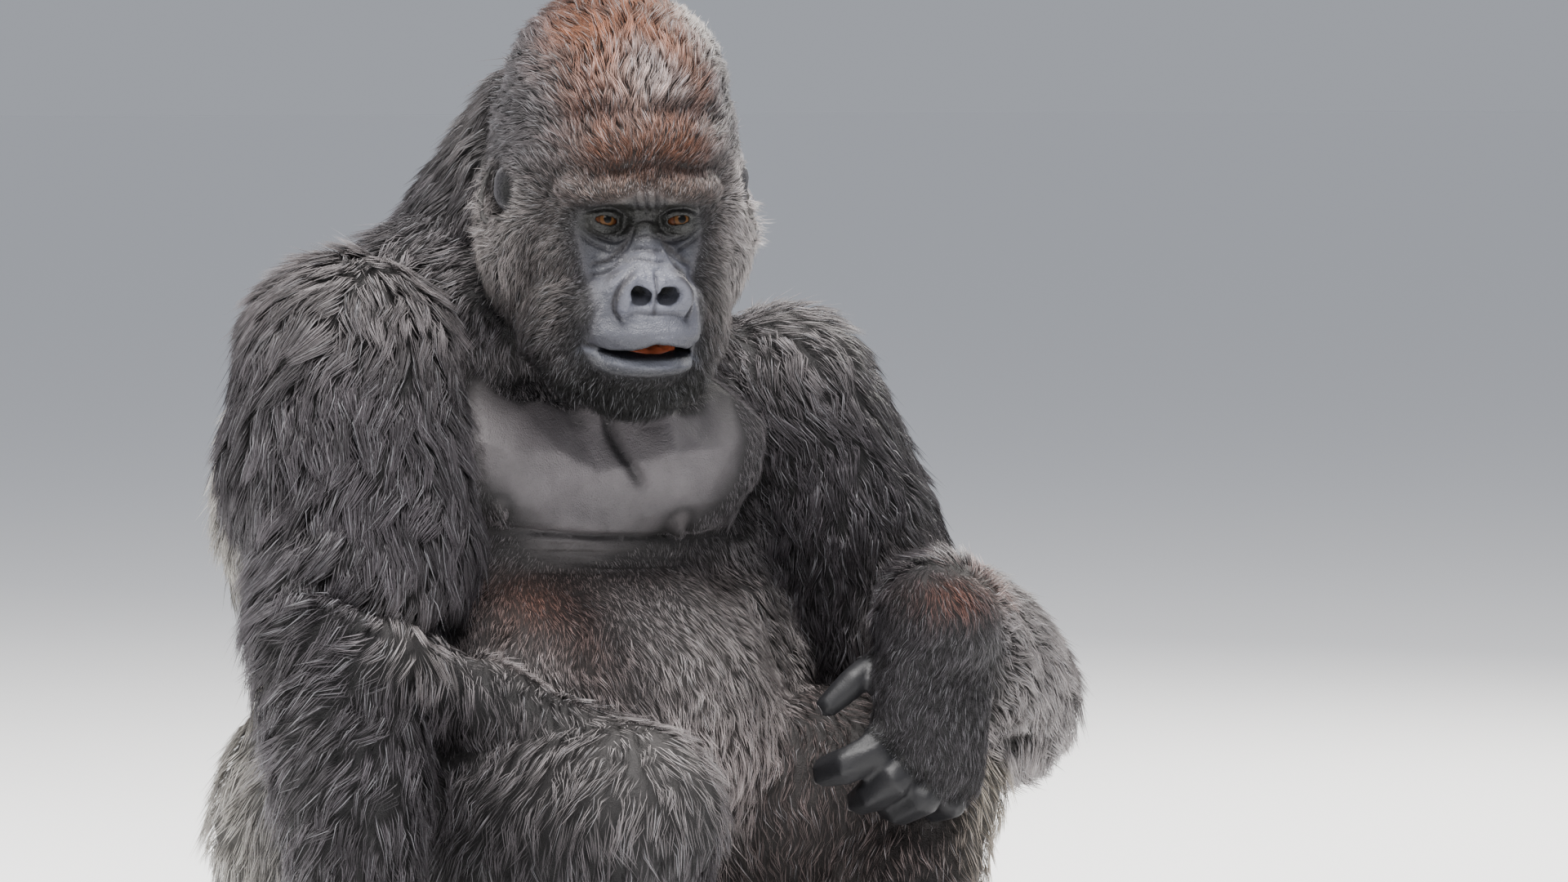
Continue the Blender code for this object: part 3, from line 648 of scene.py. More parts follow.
        ((-0.13, -0.14, 0.09), (-0.3, 0.0, -1.0), 0.04, 0.07, 24.0),
        ((-0.03, -0.06, 0.11), (0.3, -0.2, -1.0), 0.028, 0.06, 22.0),
        ((-0.29, -0.02, 0.18), (-0.4, 0.1, -1.0), 0.046, 0.08, 26.0),
    ),
    Part.LEG_LEFT: (
        ((0.26, -0.13, 0.27), (0.3, -0.3, -1.0), 0.036, 0.06, 24.0),
        ((0.33, -0.06, 0.22), (0.4, 0.1, -1.0), 0.044, 0.07, 26.0),
        ((0.16, -0.1, 0.24), (-0.1, -0.4, -1.0), 0.028, 0.06, 22.0),
        ((0.27, -0.14, 0.14), (0.2, 0.0, -1.0), 0.038, 0.07, 24.0),
        ((0.14, -0.14, 0.15), (-0.2, -0.1, -1.0), 0.026, 0.07, 22.0),
        ((0.2, 0.08, 0.12), (0.3, 0.3, -1.0), 0.044, 0.08, 26.0),
    ),
}


class Grooming:
    """The comb strokes of the whole gorilla, blended into one field."""

    def __init__(self, head: HeadFrame) -> None:
        """Lays the head's strokes out on both sides and adds the body's.

        Args:
            head: The head's own frame.
        """
        strokes = [Comb(part, *row) for part, rows in BODY_COMBS.items() for row in rows]
        for at, towards, length, reach, lift in HEAD_COMBS:
            for side in (1.0, -1.0) if at[0] else (1.0,):
                place = head.out(np.array([[at[0] * side, at[1], at[2]]]))[0]
                heading = head.turned(np.array([[towards[0] * side, towards[1], towards[2]]]))[0]
                strokes.append(Comb(Part.HEAD, tuple(place), tuple(heading), length, reach, lift))
        self.parts = np.array([stroke.part.value for stroke in strokes])
        self.at = np.array([stroke.at for stroke in strokes])
        self.towards = unit(np.array([stroke.towards for stroke in strokes]))
        self.length = np.array([stroke.length for stroke in strokes])
        self.reach = np.array([stroke.reach for stroke in strokes])
        self.lift = np.array([stroke.lift for stroke in strokes])

    def read(self, points: Array, parts: Array) -> tuple[Array, Array, Array]:
        """Blends the strokes at the points.

        Args:
            points: Rows of places.
            parts: The part of the body that each point is on.

        Returns:
            Direction, length and lift of the hair at each point.
        """
        away = ((points[:, None, :] - self.at) ** 2).sum(axis=2)
        weights = np.exp(-away / (2 * self.reach**2)) + 1e-9 / (away + 1e-4)
        weights *= np.where(parts[:, None] == self.parts, 1.0, 0.004)
        weights /= weights.sum(axis=1, keepdims=True)
        return weights @ self.towards, weights @ self.length, weights @ self.lift


# ---- Markings ----
CHEST_SKIN = (0.165, 0.152, 0.16)
CHEST_SHADE = (0.085, 0.076, 0.08)
FACE_SKIN = (0.038, 0.039, 0.048)
# Painted highlight: lighter, bluish skin on the top of the nose, its bridge, the upper lip and the raised
# rims of the muzzle.
NOSE_SHEEN = (0.135, 0.14, 0.172)
EYE_SHADE = (0.006, 0.006, 0.005)
BROW_SKIN = (0.048, 0.038, 0.033)
BROW_COAT = (0.08, 0.046, 0.032)
LIP_RIM = (0.11, 0.116, 0.14)
HAND_SKIN = (0.0055, 0.0055, 0.007)
MOUTH_INSIDE = (0.006, 0.003, 0.003)
EAR_SKIN = (0.04, 0.038, 0.044)
# Painted shade in the hollow of each ear:
EAR_HOLLOW = ((0.11, -0.01, 0.004), (0.0065, 0.03, 0.017))  # place and reach, beside the head
CREASE_SHADE = (0.014, 0.012, 0.014)
NIPPLE = (0.2, 0.178, 0.184)
# Painted shade: near black laid in the ear hollows and the nostrils.
HOLLOW_SHADE = (0.004, 0.004, 0.004)
DARK_COAT = (0.046, 0.041, 0.046)
# Black hair. The same colour is also laid as painted shade in the coat's hollows and in the fold over the
# brow.
BLACK_COAT_AND_SHADE = (0.022, 0.021, 0.025)
BROWN_COAT = (0.105, 0.08, 0.076)
BELLY_COAT = (0.38, 0.33, 0.325)
# Pale hair. The same colour is also laid as painted light on the lit tops of the coat.
PALE_AND_LIT_COAT = (0.34, 0.31, 0.305)
STRAW_COAT = (0.42, 0.37, 0.3)
RUST = (0.06, 0.02, 0.008)
SILVER_COAT = (0.38, 0.36, 0.33)
CROWN_COAT = (0.115, 0.038, 0.014)
HEAD_GREY = (0.058, 0.051, 0.054)
NAPE_GREY = (0.105, 0.096, 0.096)
CHEEK_COAT = (0.07, 0.061, 0.06)
BROW_GREY = (0.26, 0.235, 0.22)
BEARD_COAT = (0.005, 0.005, 0.005)
RED_PATCH = (0.23, 0.085, 0.05)

FACE_BOTTOM = -0.134
NOSTRILS = ((-10.0, -56.0), (17.5, -56.0))  # x and z in millimetres
NOSTRIL_SLOPE = 0.55
NOSTRIL_WIDTH = 0.0125  # from the middle to the rim
NOSTRIL_HEIGHT = 0.0078
BELLY_STREAKS = (  # path seen from the front, half width, colour, strength
    (((-0.12, 0.44), (-0.126, 0.394), (-0.128, 0.33)), 0.012, BLACK_COAT_AND_SHADE, 0.5),
    (((-0.106, 0.43), (-0.078, 0.35), (-0.05, 0.29)), 0.014, BLACK_COAT_AND_SHADE, 0.6),
    (((-0.07, 0.42), (-0.05, 0.38)), 0.016, PALE_AND_LIT_COAT, 0.35),
    (((0.095, 0.425), (0.075, 0.34), (0.05, 0.28)), 0.02, BLACK_COAT_AND_SHADE, 0.3),
)
SHADOWS = (  # place, reach and strength of the dark hollows of the coat
    ((-0.215, -0.02, 0.425), (0.022, 0.1, 0.05), 0.8),
    ((0.135, 0.01, 0.44), (0.022, 0.1, 0.06), 0.8),
    ((-0.3, -0.115, 0.425), (0.06, 0.03, 0.012), 0.75),
    ((0.15, -0.09, 0.38), (0.04, 0.08, 0.04), 0.6),
    ((0.35, -0.08, 0.27), (0.03, 0.05, 0.02), 0.7),
)
# Painted light along the ridge of the right forearm, from the elbow down to the knee.
RIDGE_HIGHLIGHT = ((-0.316, -0.129, 0.415), (-0.213, -0.08, 0.39), (-0.15, -0.12, 0.355), (-0.115, -0.25, 0.31))
FACE_FRONT = -0.052  # the bare face lies in front of this
FACE_EDGE = 0.005  # how soft its edge is
FACE_LEVELS = (-0.138, -0.119, -0.095, -0.07, -0.055, -0.033, -0.011, 0.012)
FACE_HALF_WIDTHS = (0.05, 0.06, 0.06, 0.056, 0.056, 0.062, 0.066, 0.06)


def face_share(local: Array) -> Array:
    """How much of the bare face a point of the head lies in.

    Args:
        local: Points in the head's own frame.

    Returns:
        1 well inside the bare face, 0 in the coat, for each point.
    """
    x, y, z = local.T
    half = np.interp(z, FACE_LEVELS, FACE_HALF_WIDTHS)
    top = np.interp(np.abs(x), (0.0, 0.01, 0.024, 0.05, 0.064), (0.032, 0.03, 0.022, 0.016, 0.004))
    share = 1.0 - ramp(np.abs(x), half - 3 * FACE_EDGE, half + 2 * FACE_EDGE)
    share *= 1.0 - ramp(z, top - FACE_EDGE, top + 1.5 * FACE_EDGE)
    share *= ramp(z, FACE_BOTTOM - FACE_EDGE, FACE_BOTTOM + FACE_EDGE)
    return share * (1.0 - ramp(y, FACE_FRONT - 0.01, FACE_FRONT + 0.01))


def nostril_share(flat: Array) -> Array:
    """How deep in a nostril a point lies, from 0 to 1, given (x, z) in the head's frame."""
    best = np.zeros(len(flat))
    for x, z in NOSTRILS:
        slope = math.copysign(NOSTRIL_SLOPE, x)
        dx, dz = flat[:, 0] - x * 0.001, flat[:, 1] - z * 0.001
        across, up = dx + slope * dz, dz - slope * dx
        away = (across / NOSTRIL_WIDTH) ** 2 + (up / NOSTRIL_HEIGHT) ** 2
        best = np.maximum(best, np.exp(-(away**1.5)))
    return best


class Markings:
    """The colours that the skin and the coat share."""

    def __init__(self, head: HeadFrame) -> None:
        """Remembers where the head is.

        Args:
            head: The head's own frame.
        """
        self.head = head

    def colours(self, points: Array, parts: Array, bare: Array) -> Array:
        """The colour of the coat, or of the skin where there is none.

        Args:
            points: Rows of places.
            parts: The part of the body that each point is on.
            bare: 1 where the skin shows, 0 under the coat.

        Returns:
            Rows of red, green and blue.
        """
        colour = self._body(points, parts)
        on_head = np.isin(parts, [Part.HEAD.value, Part.EAR.value])
        colour[on_head] = self._head(self.head.into(points[on_head]))
        local = self.head.into(points)
        ears = (parts == Part.EAR.value) * 1.0
        lay(colour, EAR_SKIN, ears)
        # Painted shade: the hollow of each ear is laid near black.
        place, reach = EAR_HOLLOW
        lay(colour, HOLLOW_SHADE, ears * 1.6 * bell(np.abs(local) * (1, 0, 0) + local * (0, 1, 1), place, reach))
        near_head = parts == Part.NECK.value
        colour[near_head] = self._nape(self.head.into(points[near_head]), colour[near_head])
        digits = np.isin(parts, [Part.DIGIT.value])
        lay(colour, HAND_SKIN, digits * 1.0)
        dapple = 1.0 + 0.1 * waves(points, 0.035, 1) + 0.06 * waves(points, 0.012, 2)
        return colour * np.where(bare > 0.5, 1.0 + (dapple - 1.0) * 0.6, dapple)[:, None]

    @staticmethod
    def _body(points: Array, parts: Array) -> Array:
        """Colours from the neck down.

        Args:
            points: Rows of places.
            parts: The part of the body that each point is on.

        Returns:
            Rows of red, green and blue.
        """
        x, y, z = points.T
        colour = np.tile(np.array(DARK_COAT), (len(points), 1))
        flat = points[:, (0, 2)]
        trunk = (parts == Part.TRUNK.value) * 1.0
        front = trunk * (1.0 - ramp(y, 0.04, 0.15))
        belly = front * (1.0 - ramp(z, 0.445, 0.465))
        lay(colour, BELLY_COAT, belly)
        lay(colour, PALE_AND_LIT_COAT, belly * ramp(z, 0.28, 0.36) * ramp(x, -0.1, 0.0) * 0.8)
        lay(colour, CHEST_SKIN, front * ramp(z, 0.43, 0.45))
        # A paler band under the pec crease: partly the skin's own paler tone, partly painted light on this
        # strip that faces the front.
        lay(colour, PALE_AND_LIT_COAT, front * bell(flat, (-0.06, 0.468), (0.16, 0.016)) * 0.35)
        lay(colour, CHEST_SHADE, front * ramp(z - 0.25 * (x + 0.07), 0.52, 0.64) * 0.9)
        depth = sum(crease.depths(flat) for crease in CHEST_CREASES)
        lay(colour, CREASE_SHADE, front * np.clip(depth / 0.0065, 0.0, 0.8))
        for x_mid, z_mid in NIPPLES:
            # Nipples: a paler knob, partly the skin's own tone and partly a painted highlight on the bump,
            # with a ring of painted shade round it.
            gap = np.hypot(flat[:, 0] - x_mid, flat[:, 1] - z_mid)
            lay(colour, NIPPLE, front * np.exp(-((gap / 0.01) ** 4)))
            lay(colour, CREASE_SHADE, front * np.exp(-(((gap - 0.0145) / 0.0034) ** 2)) * 0.75)
        lay(colour, RED_PATCH, belly * bell(points, (-0.15, -0.03, 0.425), (0.045, 0.1, 0.03)) * 0.85)
        lay(colour, RED_PATCH, belly * bell(points, (-0.118, -0.03, 0.385), (0.022, 0.1, 0.04)) * 0.7)
        lay(colour, RUST, front * bell(points, (-0.04, -0.04, 0.446), (0.11, 0.1, 0.011)) * 0.45)
        lay(colour, RUST, front * bell(points, (0.08, 0.0, 0.44), (0.04, 0.1, 0.014)) * 0.45)
        for path, width, tone, share in BELLY_STREAKS:
            gap, _ = stroke_distance(flat, path)
            lay(colour, tone, belly * np.exp(-((gap / width) ** 2)) * share)
        for place, reach, share in SHADOWS:
            lay(colour, BLACK_COAT_AND_SHADE, bell(points, place, reach) * share)
        back = trunk * ramp(y, 0.15, 0.27) * (1.0 - ramp(z, 0.62, 0.74)) * ramp(z, 0.06, 0.16)
        lay(colour, SILVER_COAT, back)
        rump = trunk * ramp(y, 0.02, 0.14) * bell(points, (-0.3, 0.2, 0.15), (0.09, 0.2, 0.13))
        lay(colour, SILVER_COAT, rump * 0.8)
        left_leg = (parts == Part.LEG_LEFT.value) * 1.0
        lay(colour, BROWN_COAT, left_leg * 0.8)
        lay(colour, STRAW_COAT, left_leg * ramp(x, 0.22, 0.3) * (1.0 - ramp(z, 0.25, 0.32)) * 0.8)
        legs = np.isin(parts, [Part.LEG_RIGHT.value, Part.LEG_LEFT.value]) * 1.0
        lay(colour, SILVER_COAT, legs * ramp(y, 0.02, 0.16) * ramp(z, 0.08, 0.16) * 0.5)
        # Painted light along the ridge of the right forearm, where the light from above falls.
        near = np.isin(parts, [Part.ARM_RIGHT.value, Part.LEG_RIGHT.value, Part.TRUNK.value]) * (y < 0.02)
        gap, _ = stroke_distance(points, RIDGE_HIGHLIGHT)
        lay(colour, PALE_AND_LIT_COAT, near * np.exp(-((gap / 0.03) ** 2)) * 0.75)
        # Painted light: the tops of both shoulders are laid paler where the light from above falls on them.
        top = bell(points, (-0.3, 0.0, 0.74), (0.12, 0.12, 0.06))
        top = np.maximum(top, bell(points, (0.17, 0.05, 0.7), (0.09, 0.12, 0.06)))
        lay(colour, PALE_AND_LIT_COAT, top * 0.4)
        # Painted light on the top of the right knee, where the light from above falls.
        knee = (parts == Part.LEG_RIGHT.value) * bell(points, (-0.14, -0.24, 0.3), (0.12, 0.12, 0.06))
        lay(colour, PALE_AND_LIT_COAT, knee * 0.6)
        # Painted light on the lower, outer part of the left forearm, where the light falls on it.
        fore = (parts == Part.ARM_LEFT.value) * ramp(z, 0.5, 0.46) * ramp(x, 0.2, 0.26)
        lay(colour, PALE_AND_LIT_COAT, fore * 0.45)
        hand = (parts == Part.HAND_LEFT.value) * 1.0
        lay(colour, BLACK_COAT_AND_SHADE, hand * 0.25)
        patch = bell(points, (0.196, -0.232, 0.436), (0.03, 0.04, 0.012))
        patch = np.maximum(patch, 0.7 * bell(points, (0.255, -0.215, 0.436), (0.045, 0.04, 0.011)))
        wrist = np.isin(parts, [Part.ARM_LEFT.value, Part.HAND_LEFT.value])
        lay(colour, RED_PATCH, wrist * np.clip(patch, 0.0, 1.0) * 0.8)
        return colour

    @staticmethod
    def _nape(local: Array, colour: Array) -> Array:
        """Colours of the neck, which run on from those of the head.

        Args:
            local: Points in the head's own frame.
            colour: Their colours so far.

        Returns:
            Rows of red, green and blue.
        """
        lay(colour, NAPE_GREY, ramp(local[:, 2], -0.06, 0.06) * 0.8)
        throat = (1.0 - ramp(local[:, 2], -0.16, -0.06)) * (1.0 - ramp(local[:, 1], 0.0, 0.06))
        lay(colour, BLACK_COAT_AND_SHADE, throat * 0.7)
        return colour

    @staticmethod
    def _head(local: Array) -> Array:
        """Colours of the head, given points in its own frame."""
        x, y, z = local.T
        side = np.abs(x)
        colour = np.tile(np.array(HEAD_GREY), (len(local), 1))
        temple = bell(local, (0.0, 0.0, 0.06), (0.2, 0.07, 0.06)) * ramp(side, 0.05, 0.09)
        lay(colour, BLACK_COAT_AND_SHADE, temple * 0.45)
        middle = 1.0 - ramp(side, 0.03, 0.085)
        streaks = 0.75 + 0.35 * waves(local * np.array([1.0, 0.35, 0.25]), 0.012, 4)
        lay(colour, CROWN_COAT, ramp(z, 0.03, 0.06) * (1.0 - ramp(y, 0.0, 0.1)) * middle * streaks)
        lay(colour, CROWN_COAT, bell(local, (-0.045, -0.05, 0.155), (0.035, 0.06, 0.035)) * 0.8)
        # Pale hair on the forehead, laid paler still as painted light on its lit tips.
        lay(colour, PALE_AND_LIT_COAT, bell(local, (0.005, -0.1, 0.118), (0.03, 0.06, 0.032)) * 0.45)
        lay(colour, CHEEK_COAT, (1.0 - ramp(z, -0.01, 0.04)))
        cheek = (1.0 - ramp(z, 0.0, 0.06)) * ramp(x, 0.07, 0.105) * ramp(z, -0.13, -0.07)
        lay(colour, PALE_AND_LIT_COAT, cheek * 0.9)
        cheek = (1.0 - ramp(z, 0.0, 0.05)) * ramp(-x, 0.09, 0.125) * ramp(z, -0.12, -0.06)
        lay(colour, PALE_AND_LIT_COAT, cheek * 0.45)
        lay(colour, BLACK_COAT_AND_SHADE, (1.0 - ramp(z, -0.125, -0.075)) * (1.0 - ramp(x, 0.06, 0.1)) * 0.6)
        lay(colour, BEARD_COAT, (1.0 - ramp(z, -0.146, -0.13)) * (1.0 - ramp(y, -0.06, -0.02)))
        lay(colour, BROW_COAT, bell(local, (0.0, -0.12, 0.03), (0.07, 0.1, 0.016)) * (y < -0.05) * 0.9)
        bare = face_share(local)
        lay(colour, FACE_SKIN, bare)
        lay(colour, BROW_SKIN, bare * ramp(z, 0.016, 0.026) * 0.8)
        # Painted highlight on the top of the nose, its bridge and the upper lip, where light glances off the
        # skin.
        tip = 1.3 * bell(local, (0.004, -0.15, -0.055), (0.036, 0.1, 0.02))
        lay(colour, NOSE_SHEEN, bare * np.clip(tip, 0, 1))
        lay(colour, NOSE_SHEEN, bare * bell(local, (0.004, -0.15, -0.028), (0.02, 0.1, 0.018)) * 0.35)
        lay(colour, NOSE_SHEEN, bare * bell(local, (0.004, -0.15, -0.088), (0.04, 0.1, 0.014)) * 0.3)
        sockets = (bell(local, (eye, -0.11, 0.004), (0.036, 0.1, 0.019)) for eye in (-0.034, 0.034))
        shade = np.maximum(*sockets)
        shade = np.maximum(shade, 0.8 * bell(local, (0.0, -0.12, 0.008), (0.034, 0.1, 0.012)))
        lay(colour, EYE_SHADE, bare * np.clip(2.2 * shade, 0.0, 1.0))
        brow = np.interp(side, (0.0, 0.005, 0.02, 0.04, 0.058, 0.066), (4, 12, 19, 22, 15, 2))
        rim = np.exp(-(((z - brow * 0.001 - 0.004) / 0.0035) ** 2)) * (y < -0.07)
        lay(colour, BROW_GREY, rim * ramp(side, 0.014, 0.026) * 0.12)
        # Rust hair at the foot of the crown, laid dark as painted shade, and a thin painted shadow line in
        # the brow fold below it.
        lay(colour, RUST, bell(local, (0.0, -0.12, 0.064), (0.062, 0.1, 0.014)) * 0.95 * (y < -0.05))
        lay(colour, BLACK_COAT_AND_SHADE, bell(local, (0.0, -0.12, 0.053), (0.04, 0.1, 0.005)) * 0.5 * (y < -0.05))
        lower = np.interp(x, (-0.05, -0.03, 0.0, 0.03, 0.058), (-118.5, -120.5, -122, -122.5, -127))
        rim = np.exp(-(((z - lower * 0.001) / 0.0027) ** 4)) * (side < 0.056) * (y < -0.07)
        lay(colour, BEARD_COAT, bare * (1.0 - ramp(z, -0.132, -0.123)) * 0.7)
        lay(colour, LIP_RIM, rim * 0.9)
        upper = np.interp(x, (-0.05, -0.026, 0.004, 0.031, 0.044), (-111.5, -108.5, -98.5, -105, -115))
        edge = np.exp(-(((z - upper * 0.001) / 0.0022) ** 2)) * (side < 0.054) * (y < -0.07)
        lay(colour, BEARD_COAT, edge * 0.8)
        lay(colour, BEARD_COAT, bare * bell(local, (0.0, -0.13, -0.104), (0.055, 0.1, 0.008)) * 0.3)
        # Painted shade: the nostrils are laid near black.
        lay(colour, HOLLOW_SHADE, ramp(nostril_share(local[:, (0, 2)]), 0.25, 0.5) * bare)
        # Painted highlight on the raised rims of the nose, lips and muzzle pads, stronger where they stand
        # out further.
        raised = sum(crease.depths(local[:, (0, 2)]) for crease in FACE_RIDGES)
        lay(colour, NOSE_SHEEN, bare * np.clip(-raised / 0.008, 0.0, 0.35) * ramp(z, -0.02, -0.04))
        depth = sum(crease.depths(local[:, (0, 2)]) for crease in FACE_CREASES)
        lay(colour, CREASE_SHADE, bare * np.clip(depth / 0.0034, 0.0, 0.85))
        return colour


def lay(colours: Array, colour: Colour, share: Array) -> None:
    """Lays one colour over others, in place.

    Args:
        colours: Rows of colours that change.
        colour: What is laid over them.
        share: How much of it, from 0 to 1 for each row.
    """
    part = np.clip(share, 0.0, 1.0)[:, None]
    colours += (np.asarray(colour) - colours) * part


# ---- Finishes ----
class Graph:
    """A material's nodes, made and joined in short calls."""

    def __init__(self, name: str) -> None:
        """Starts a material with one glossy-paint shader.

        Args:
            name: Name of the material.
        """
        self.material = bpy.data.materials.new(name)
        self.material.use_nodes = True
        self.nodes = self.material.node_tree.nodes
        self.shader = self.nodes["Principled BSDF"]

    def set(self, **values: float | Colour) -> None:
        """Sets sockets of the shader; an underscore in a name stands for a space."""
        for name, value in values.items():
            socket = self.shader.inputs[name.replace("_", " ")]
            full = socket.type == "RGBA" and len(value) == 3
            socket.default_value = (*value, 1.0) if full else value

    def add(self, kind: str, **values: object) -> bpy.types.Node:
        """Adds a node of the kind and sets its properties."""
        node = self.nodes.new(kind)
        for name, value in values.items():
            setattr(node, name, value)
        return node

    def join(self, start: bpy.types.NodeSocket, end: bpy.types.NodeSocket) -> None:
        """Joins two sockets."""
        self.material.node_tree.links.new(start, end)

    def attribute(self, name: str) -> bpy.types.Node:
        """A node that reads a vertex attribute."""
        return self.add("ShaderNodeAttribute", attribute_name=name)

    def noise(self, scale: float, detail: float = 2.0) -> bpy.types.NodeSocket:
        """Noise in the object's own space.

        Args:
            scale: Waves in a metre.
            detail: Octaves.

        Returns:
            The socket with the noise, from 0 to 1.
        """
        place = self.add("ShaderNodeTexCoord")
        noise = self.add("ShaderNodeTexNoise")
        noise.inputs["Scale"].default_value = scale
        noise.inputs["Detail"].default_value = detail
        self.join(place.outputs["Object"], noise.inputs["Vector"])
        return noise.outputs["Fac"]

    def cells(self, scale: float) -> bpy.types.NodeSocket:
        """Distance from the nearest of many scattered points in the object's own space."""
        place = self.add("ShaderNodeTexCoord")
        cells = self.add("ShaderNodeTexVoronoi", feature="DISTANCE_TO_EDGE")
        cells.inputs["Scale"].default_value = scale
        self.join(place.outputs["Object"], cells.inputs["Vector"])
        return cells.outputs["Distance"]

    def maths(self, operation: str, *values: float | bpy.types.NodeSocket) -> bpy.types.NodeSocket:
        """One sum, product or other operation on numbers and sockets."""
        node = self.add("ShaderNodeMath", operation=operation)
        for socket, value in zip(node.inputs, values):
            if isinstance(value, (int, float)):
                socket.default_value = value
            else:
                self.join(value, socket)
        return node.outputs[0]

    def bump(self, height: bpy.types.NodeSocket, depth: float) -> None:
        """Raises and sinks the look of the surface.

        Args:
            height: Socket with the height from 0 to 1.
            depth: What height 1 stands for, in metres.
        """
        bump = self.add("ShaderNodeBump")
        bump.inputs["Distance"].default_value = depth
        self.join(height, bump.inputs["Height"])
        self.join(bump.outputs["Normal"], self.shader.inputs["Normal"])


@dataclass(frozen=True)
class SkinFinish:
    """Leathery skin where the gorilla is bare, dull fuzz where the coat covers it.

    Attributes:
        pores: Cells in a metre.
        creases: Larger cells in a metre.
        depth: Height of the relief, in metres.
        gloss: Roughness of bare skin.
        fuzz: Roughness under the coat.
        polish: How much less rough the digits are; below zero, how much rougher.
    """

    pores: float = 420.0
    creases: float = 130.0
    depth: float = 0.0009
    gloss: float = 0.47
    fuzz: float = 0.72
    polish: float = -0.08

    def material(self) -> bpy.types.Material:
        """Makes the material, which reads the attributes markings and bare."""
        graph = Graph("skin")
        colour = graph.attribute("markings")
        graph.join(colour.outputs["Color"], graph.shader.inputs["Base Color"])
        bare = graph.attribute("bare").outputs["Fac"]
        dull = graph.maths("SUBTRACT", 1.0, bare)
        rough = graph.maths("MULTIPLY_ADD", dull, self.fuzz - self.gloss, self.gloss)
        rough = graph.maths("MULTIPLY_ADD", graph.attribute("polished").outputs["Fac"], -self.polish, rough)
        patchy = graph.maths("MULTIPLY_ADD", graph.noise(60.0, 3.0), 0.16, -0.08)
        graph.join(graph.maths("ADD", rough, patchy), graph.shader.inputs["Roughness"])
        pores = graph.maths("MULTIPLY", graph.cells(self.pores), 0.9)
        creases = graph.maths("MINIMUM", graph.cells(self.creases), 0.25)
        grain = graph.maths("MULTIPLY", graph.noise(900.0), 0.35)
        relief = graph.maths("ADD", graph.maths("ADD", pores, creases), grain)
        smooth = graph.maths("MULTIPLY_ADD", graph.attribute("polished").outputs["Fac"], -0.75, 1.0)
        relief = graph.maths("MULTIPLY", relief, smooth)
        graph.bump(relief, self.depth)
        graph.set(Specular_IOR_Level=0.4)
        return graph.material


@dataclass(frozen=True)
class CoatFinish:
    """Hair: the colour comes from each tuft, with a soft shine.

    Attributes:
        roughness: Roughness of the hair.
        shine: Strength of its reflection.
    """

    roughness: float = 0.5
    shine: float = 0.35

    def material(self) -> bpy.types.Material:
        """Makes the material, which reads the attribute coat_colour."""
        graph = Graph("coat")
        colour = graph.attribute("coat_colour")
        graph.join(colour.outputs["Color"], graph.shader.inputs["Base Color"])
        graph.set(Roughness=self.roughness, Specular_IOR_Level=self.shine)
        return graph.material


@dataclass(frozen=True)
class PlainFinish:
    """One colour with a fine grain.

    Attributes:
        name: Name of the material.
        colour: Its colour.
        roughness: Its roughness.
        grain: Height of the grain, in metres.
        scale: Waves of the grain in a metre.
        coat: Strength of a wet coat over it.
    """

    name: str
    colour: Colour
    roughness: float
    grain: float = 0.0004
    scale: float = 300.0
    coat: float = 0.0

    def material(self) -> bpy.types.Material:
        """Makes the material."""
        graph = Graph(self.name)
        graph.set(Base_Color=self.colour, Roughness=self.roughness, Coat_Weight=self.coat)
        if self.coat:
            graph.set(Coat_Roughness=0.08)
        if self.grain:
            graph.bump(graph.noise(self.scale, 3.0), self.grain)
        return graph.material


@dataclass(frozen=True)
class EyeFinish:
    """A dark eyeball with an amber iris and a black pupil, under a clear wet coat.

    Attributes:
        white: Colour of the white of the eye, which is dark brown.
        corner: Colour where the white shows beside the iris.
        iris: Colour of the iris.
        rim: Colour of the iris's dark edge.
        iris_radius: Radius of the iris, in metres.
        pupil_radius: Radius of the pupil.
    """

    white: Colour = (0.022, 0.01, 0.006)
    corner: Colour = (0.055, 0.018, 0.007)
    iris: Colour = (0.07, 0.031, 0.01)
    rim: Colour = (0.012, 0.006, 0.004)
    iris_radius: float = 0.0072
    pupil_radius: float = 0.0034

    def material(self) -> bpy.types.Material:
        """Makes the material, which reads the attribute gaze_gap: metres off the axis."""
        graph = Graph("eye")
        gap = graph.attribute("gaze_gap").outputs["Fac"]
        share = graph.maths("DIVIDE", gap, 0.014)
        bands = graph.add("ShaderNodeValToRGB")
        elements = bands.color_ramp.elements
        pupil, iris = self.pupil_radius / 0.014, self.iris_radius / 0.014
        elements[0].position = 0.0
        elements[0].color = (0.002, 0.002, 0.002, 1.0)
        elements[1].position = 1.0
        elements[1].color = (*self.white, 1.0)
        stops = ((pupil, (0.002, 0.002, 0.002)), (pupil + 0.04, self.iris), (iris - 0.05, self.iris))
        for place, colour in (*stops, (iris, self.rim), (iris + 0.06, self.corner), (0.9, self.corner)):
            element = elements.new(place)
            element.color = (*colour, 1.0)
        graph.join(share, bands.inputs["Fac"])
        graph.join(bands.outputs["Color"], graph.shader.inputs["Base Color"])
        graph.set(Roughness=0.7, Specular_IOR_Level=0.05)
        graph.set(Coat_Weight=0.35, Coat_Roughness=0.03, Coat_IOR=1.33)
        return graph.material


# ---- The skin ----
@dataclass(frozen=True)
class Crease:
    """A groove or ridge drawn on the front of the head or the chest.

    Attributes:
        path: Its corners, seen from the front, as (x, z) in millimetres.
        depth: How deep it is, in millimetres; a ridge is below zero.
        width: Half its width, in millimetres.
    """

    path: tuple[tuple[float, float], ...]
    depth: float
    width: float

    def depths(self, flat: Array) -> Array:
        """How far the crease sinks each point, in metres.

        Args:
            flat: Rows of (x, z) in metres.

        Returns:
            Depths, which fade out at both ends of the crease.
        """
        line = rounded([(x * 0.001, z * 0.001) for x, z in self.path])
        gap, along = stroke_distance(flat, line)
        ends = np.sin(math.pi * np.clip(along, 0.04, 0.96)) ** 0.5
        return 0.001 * self.depth * np.exp(-((gap / (0.001 * self.width)) ** 2)) * ends


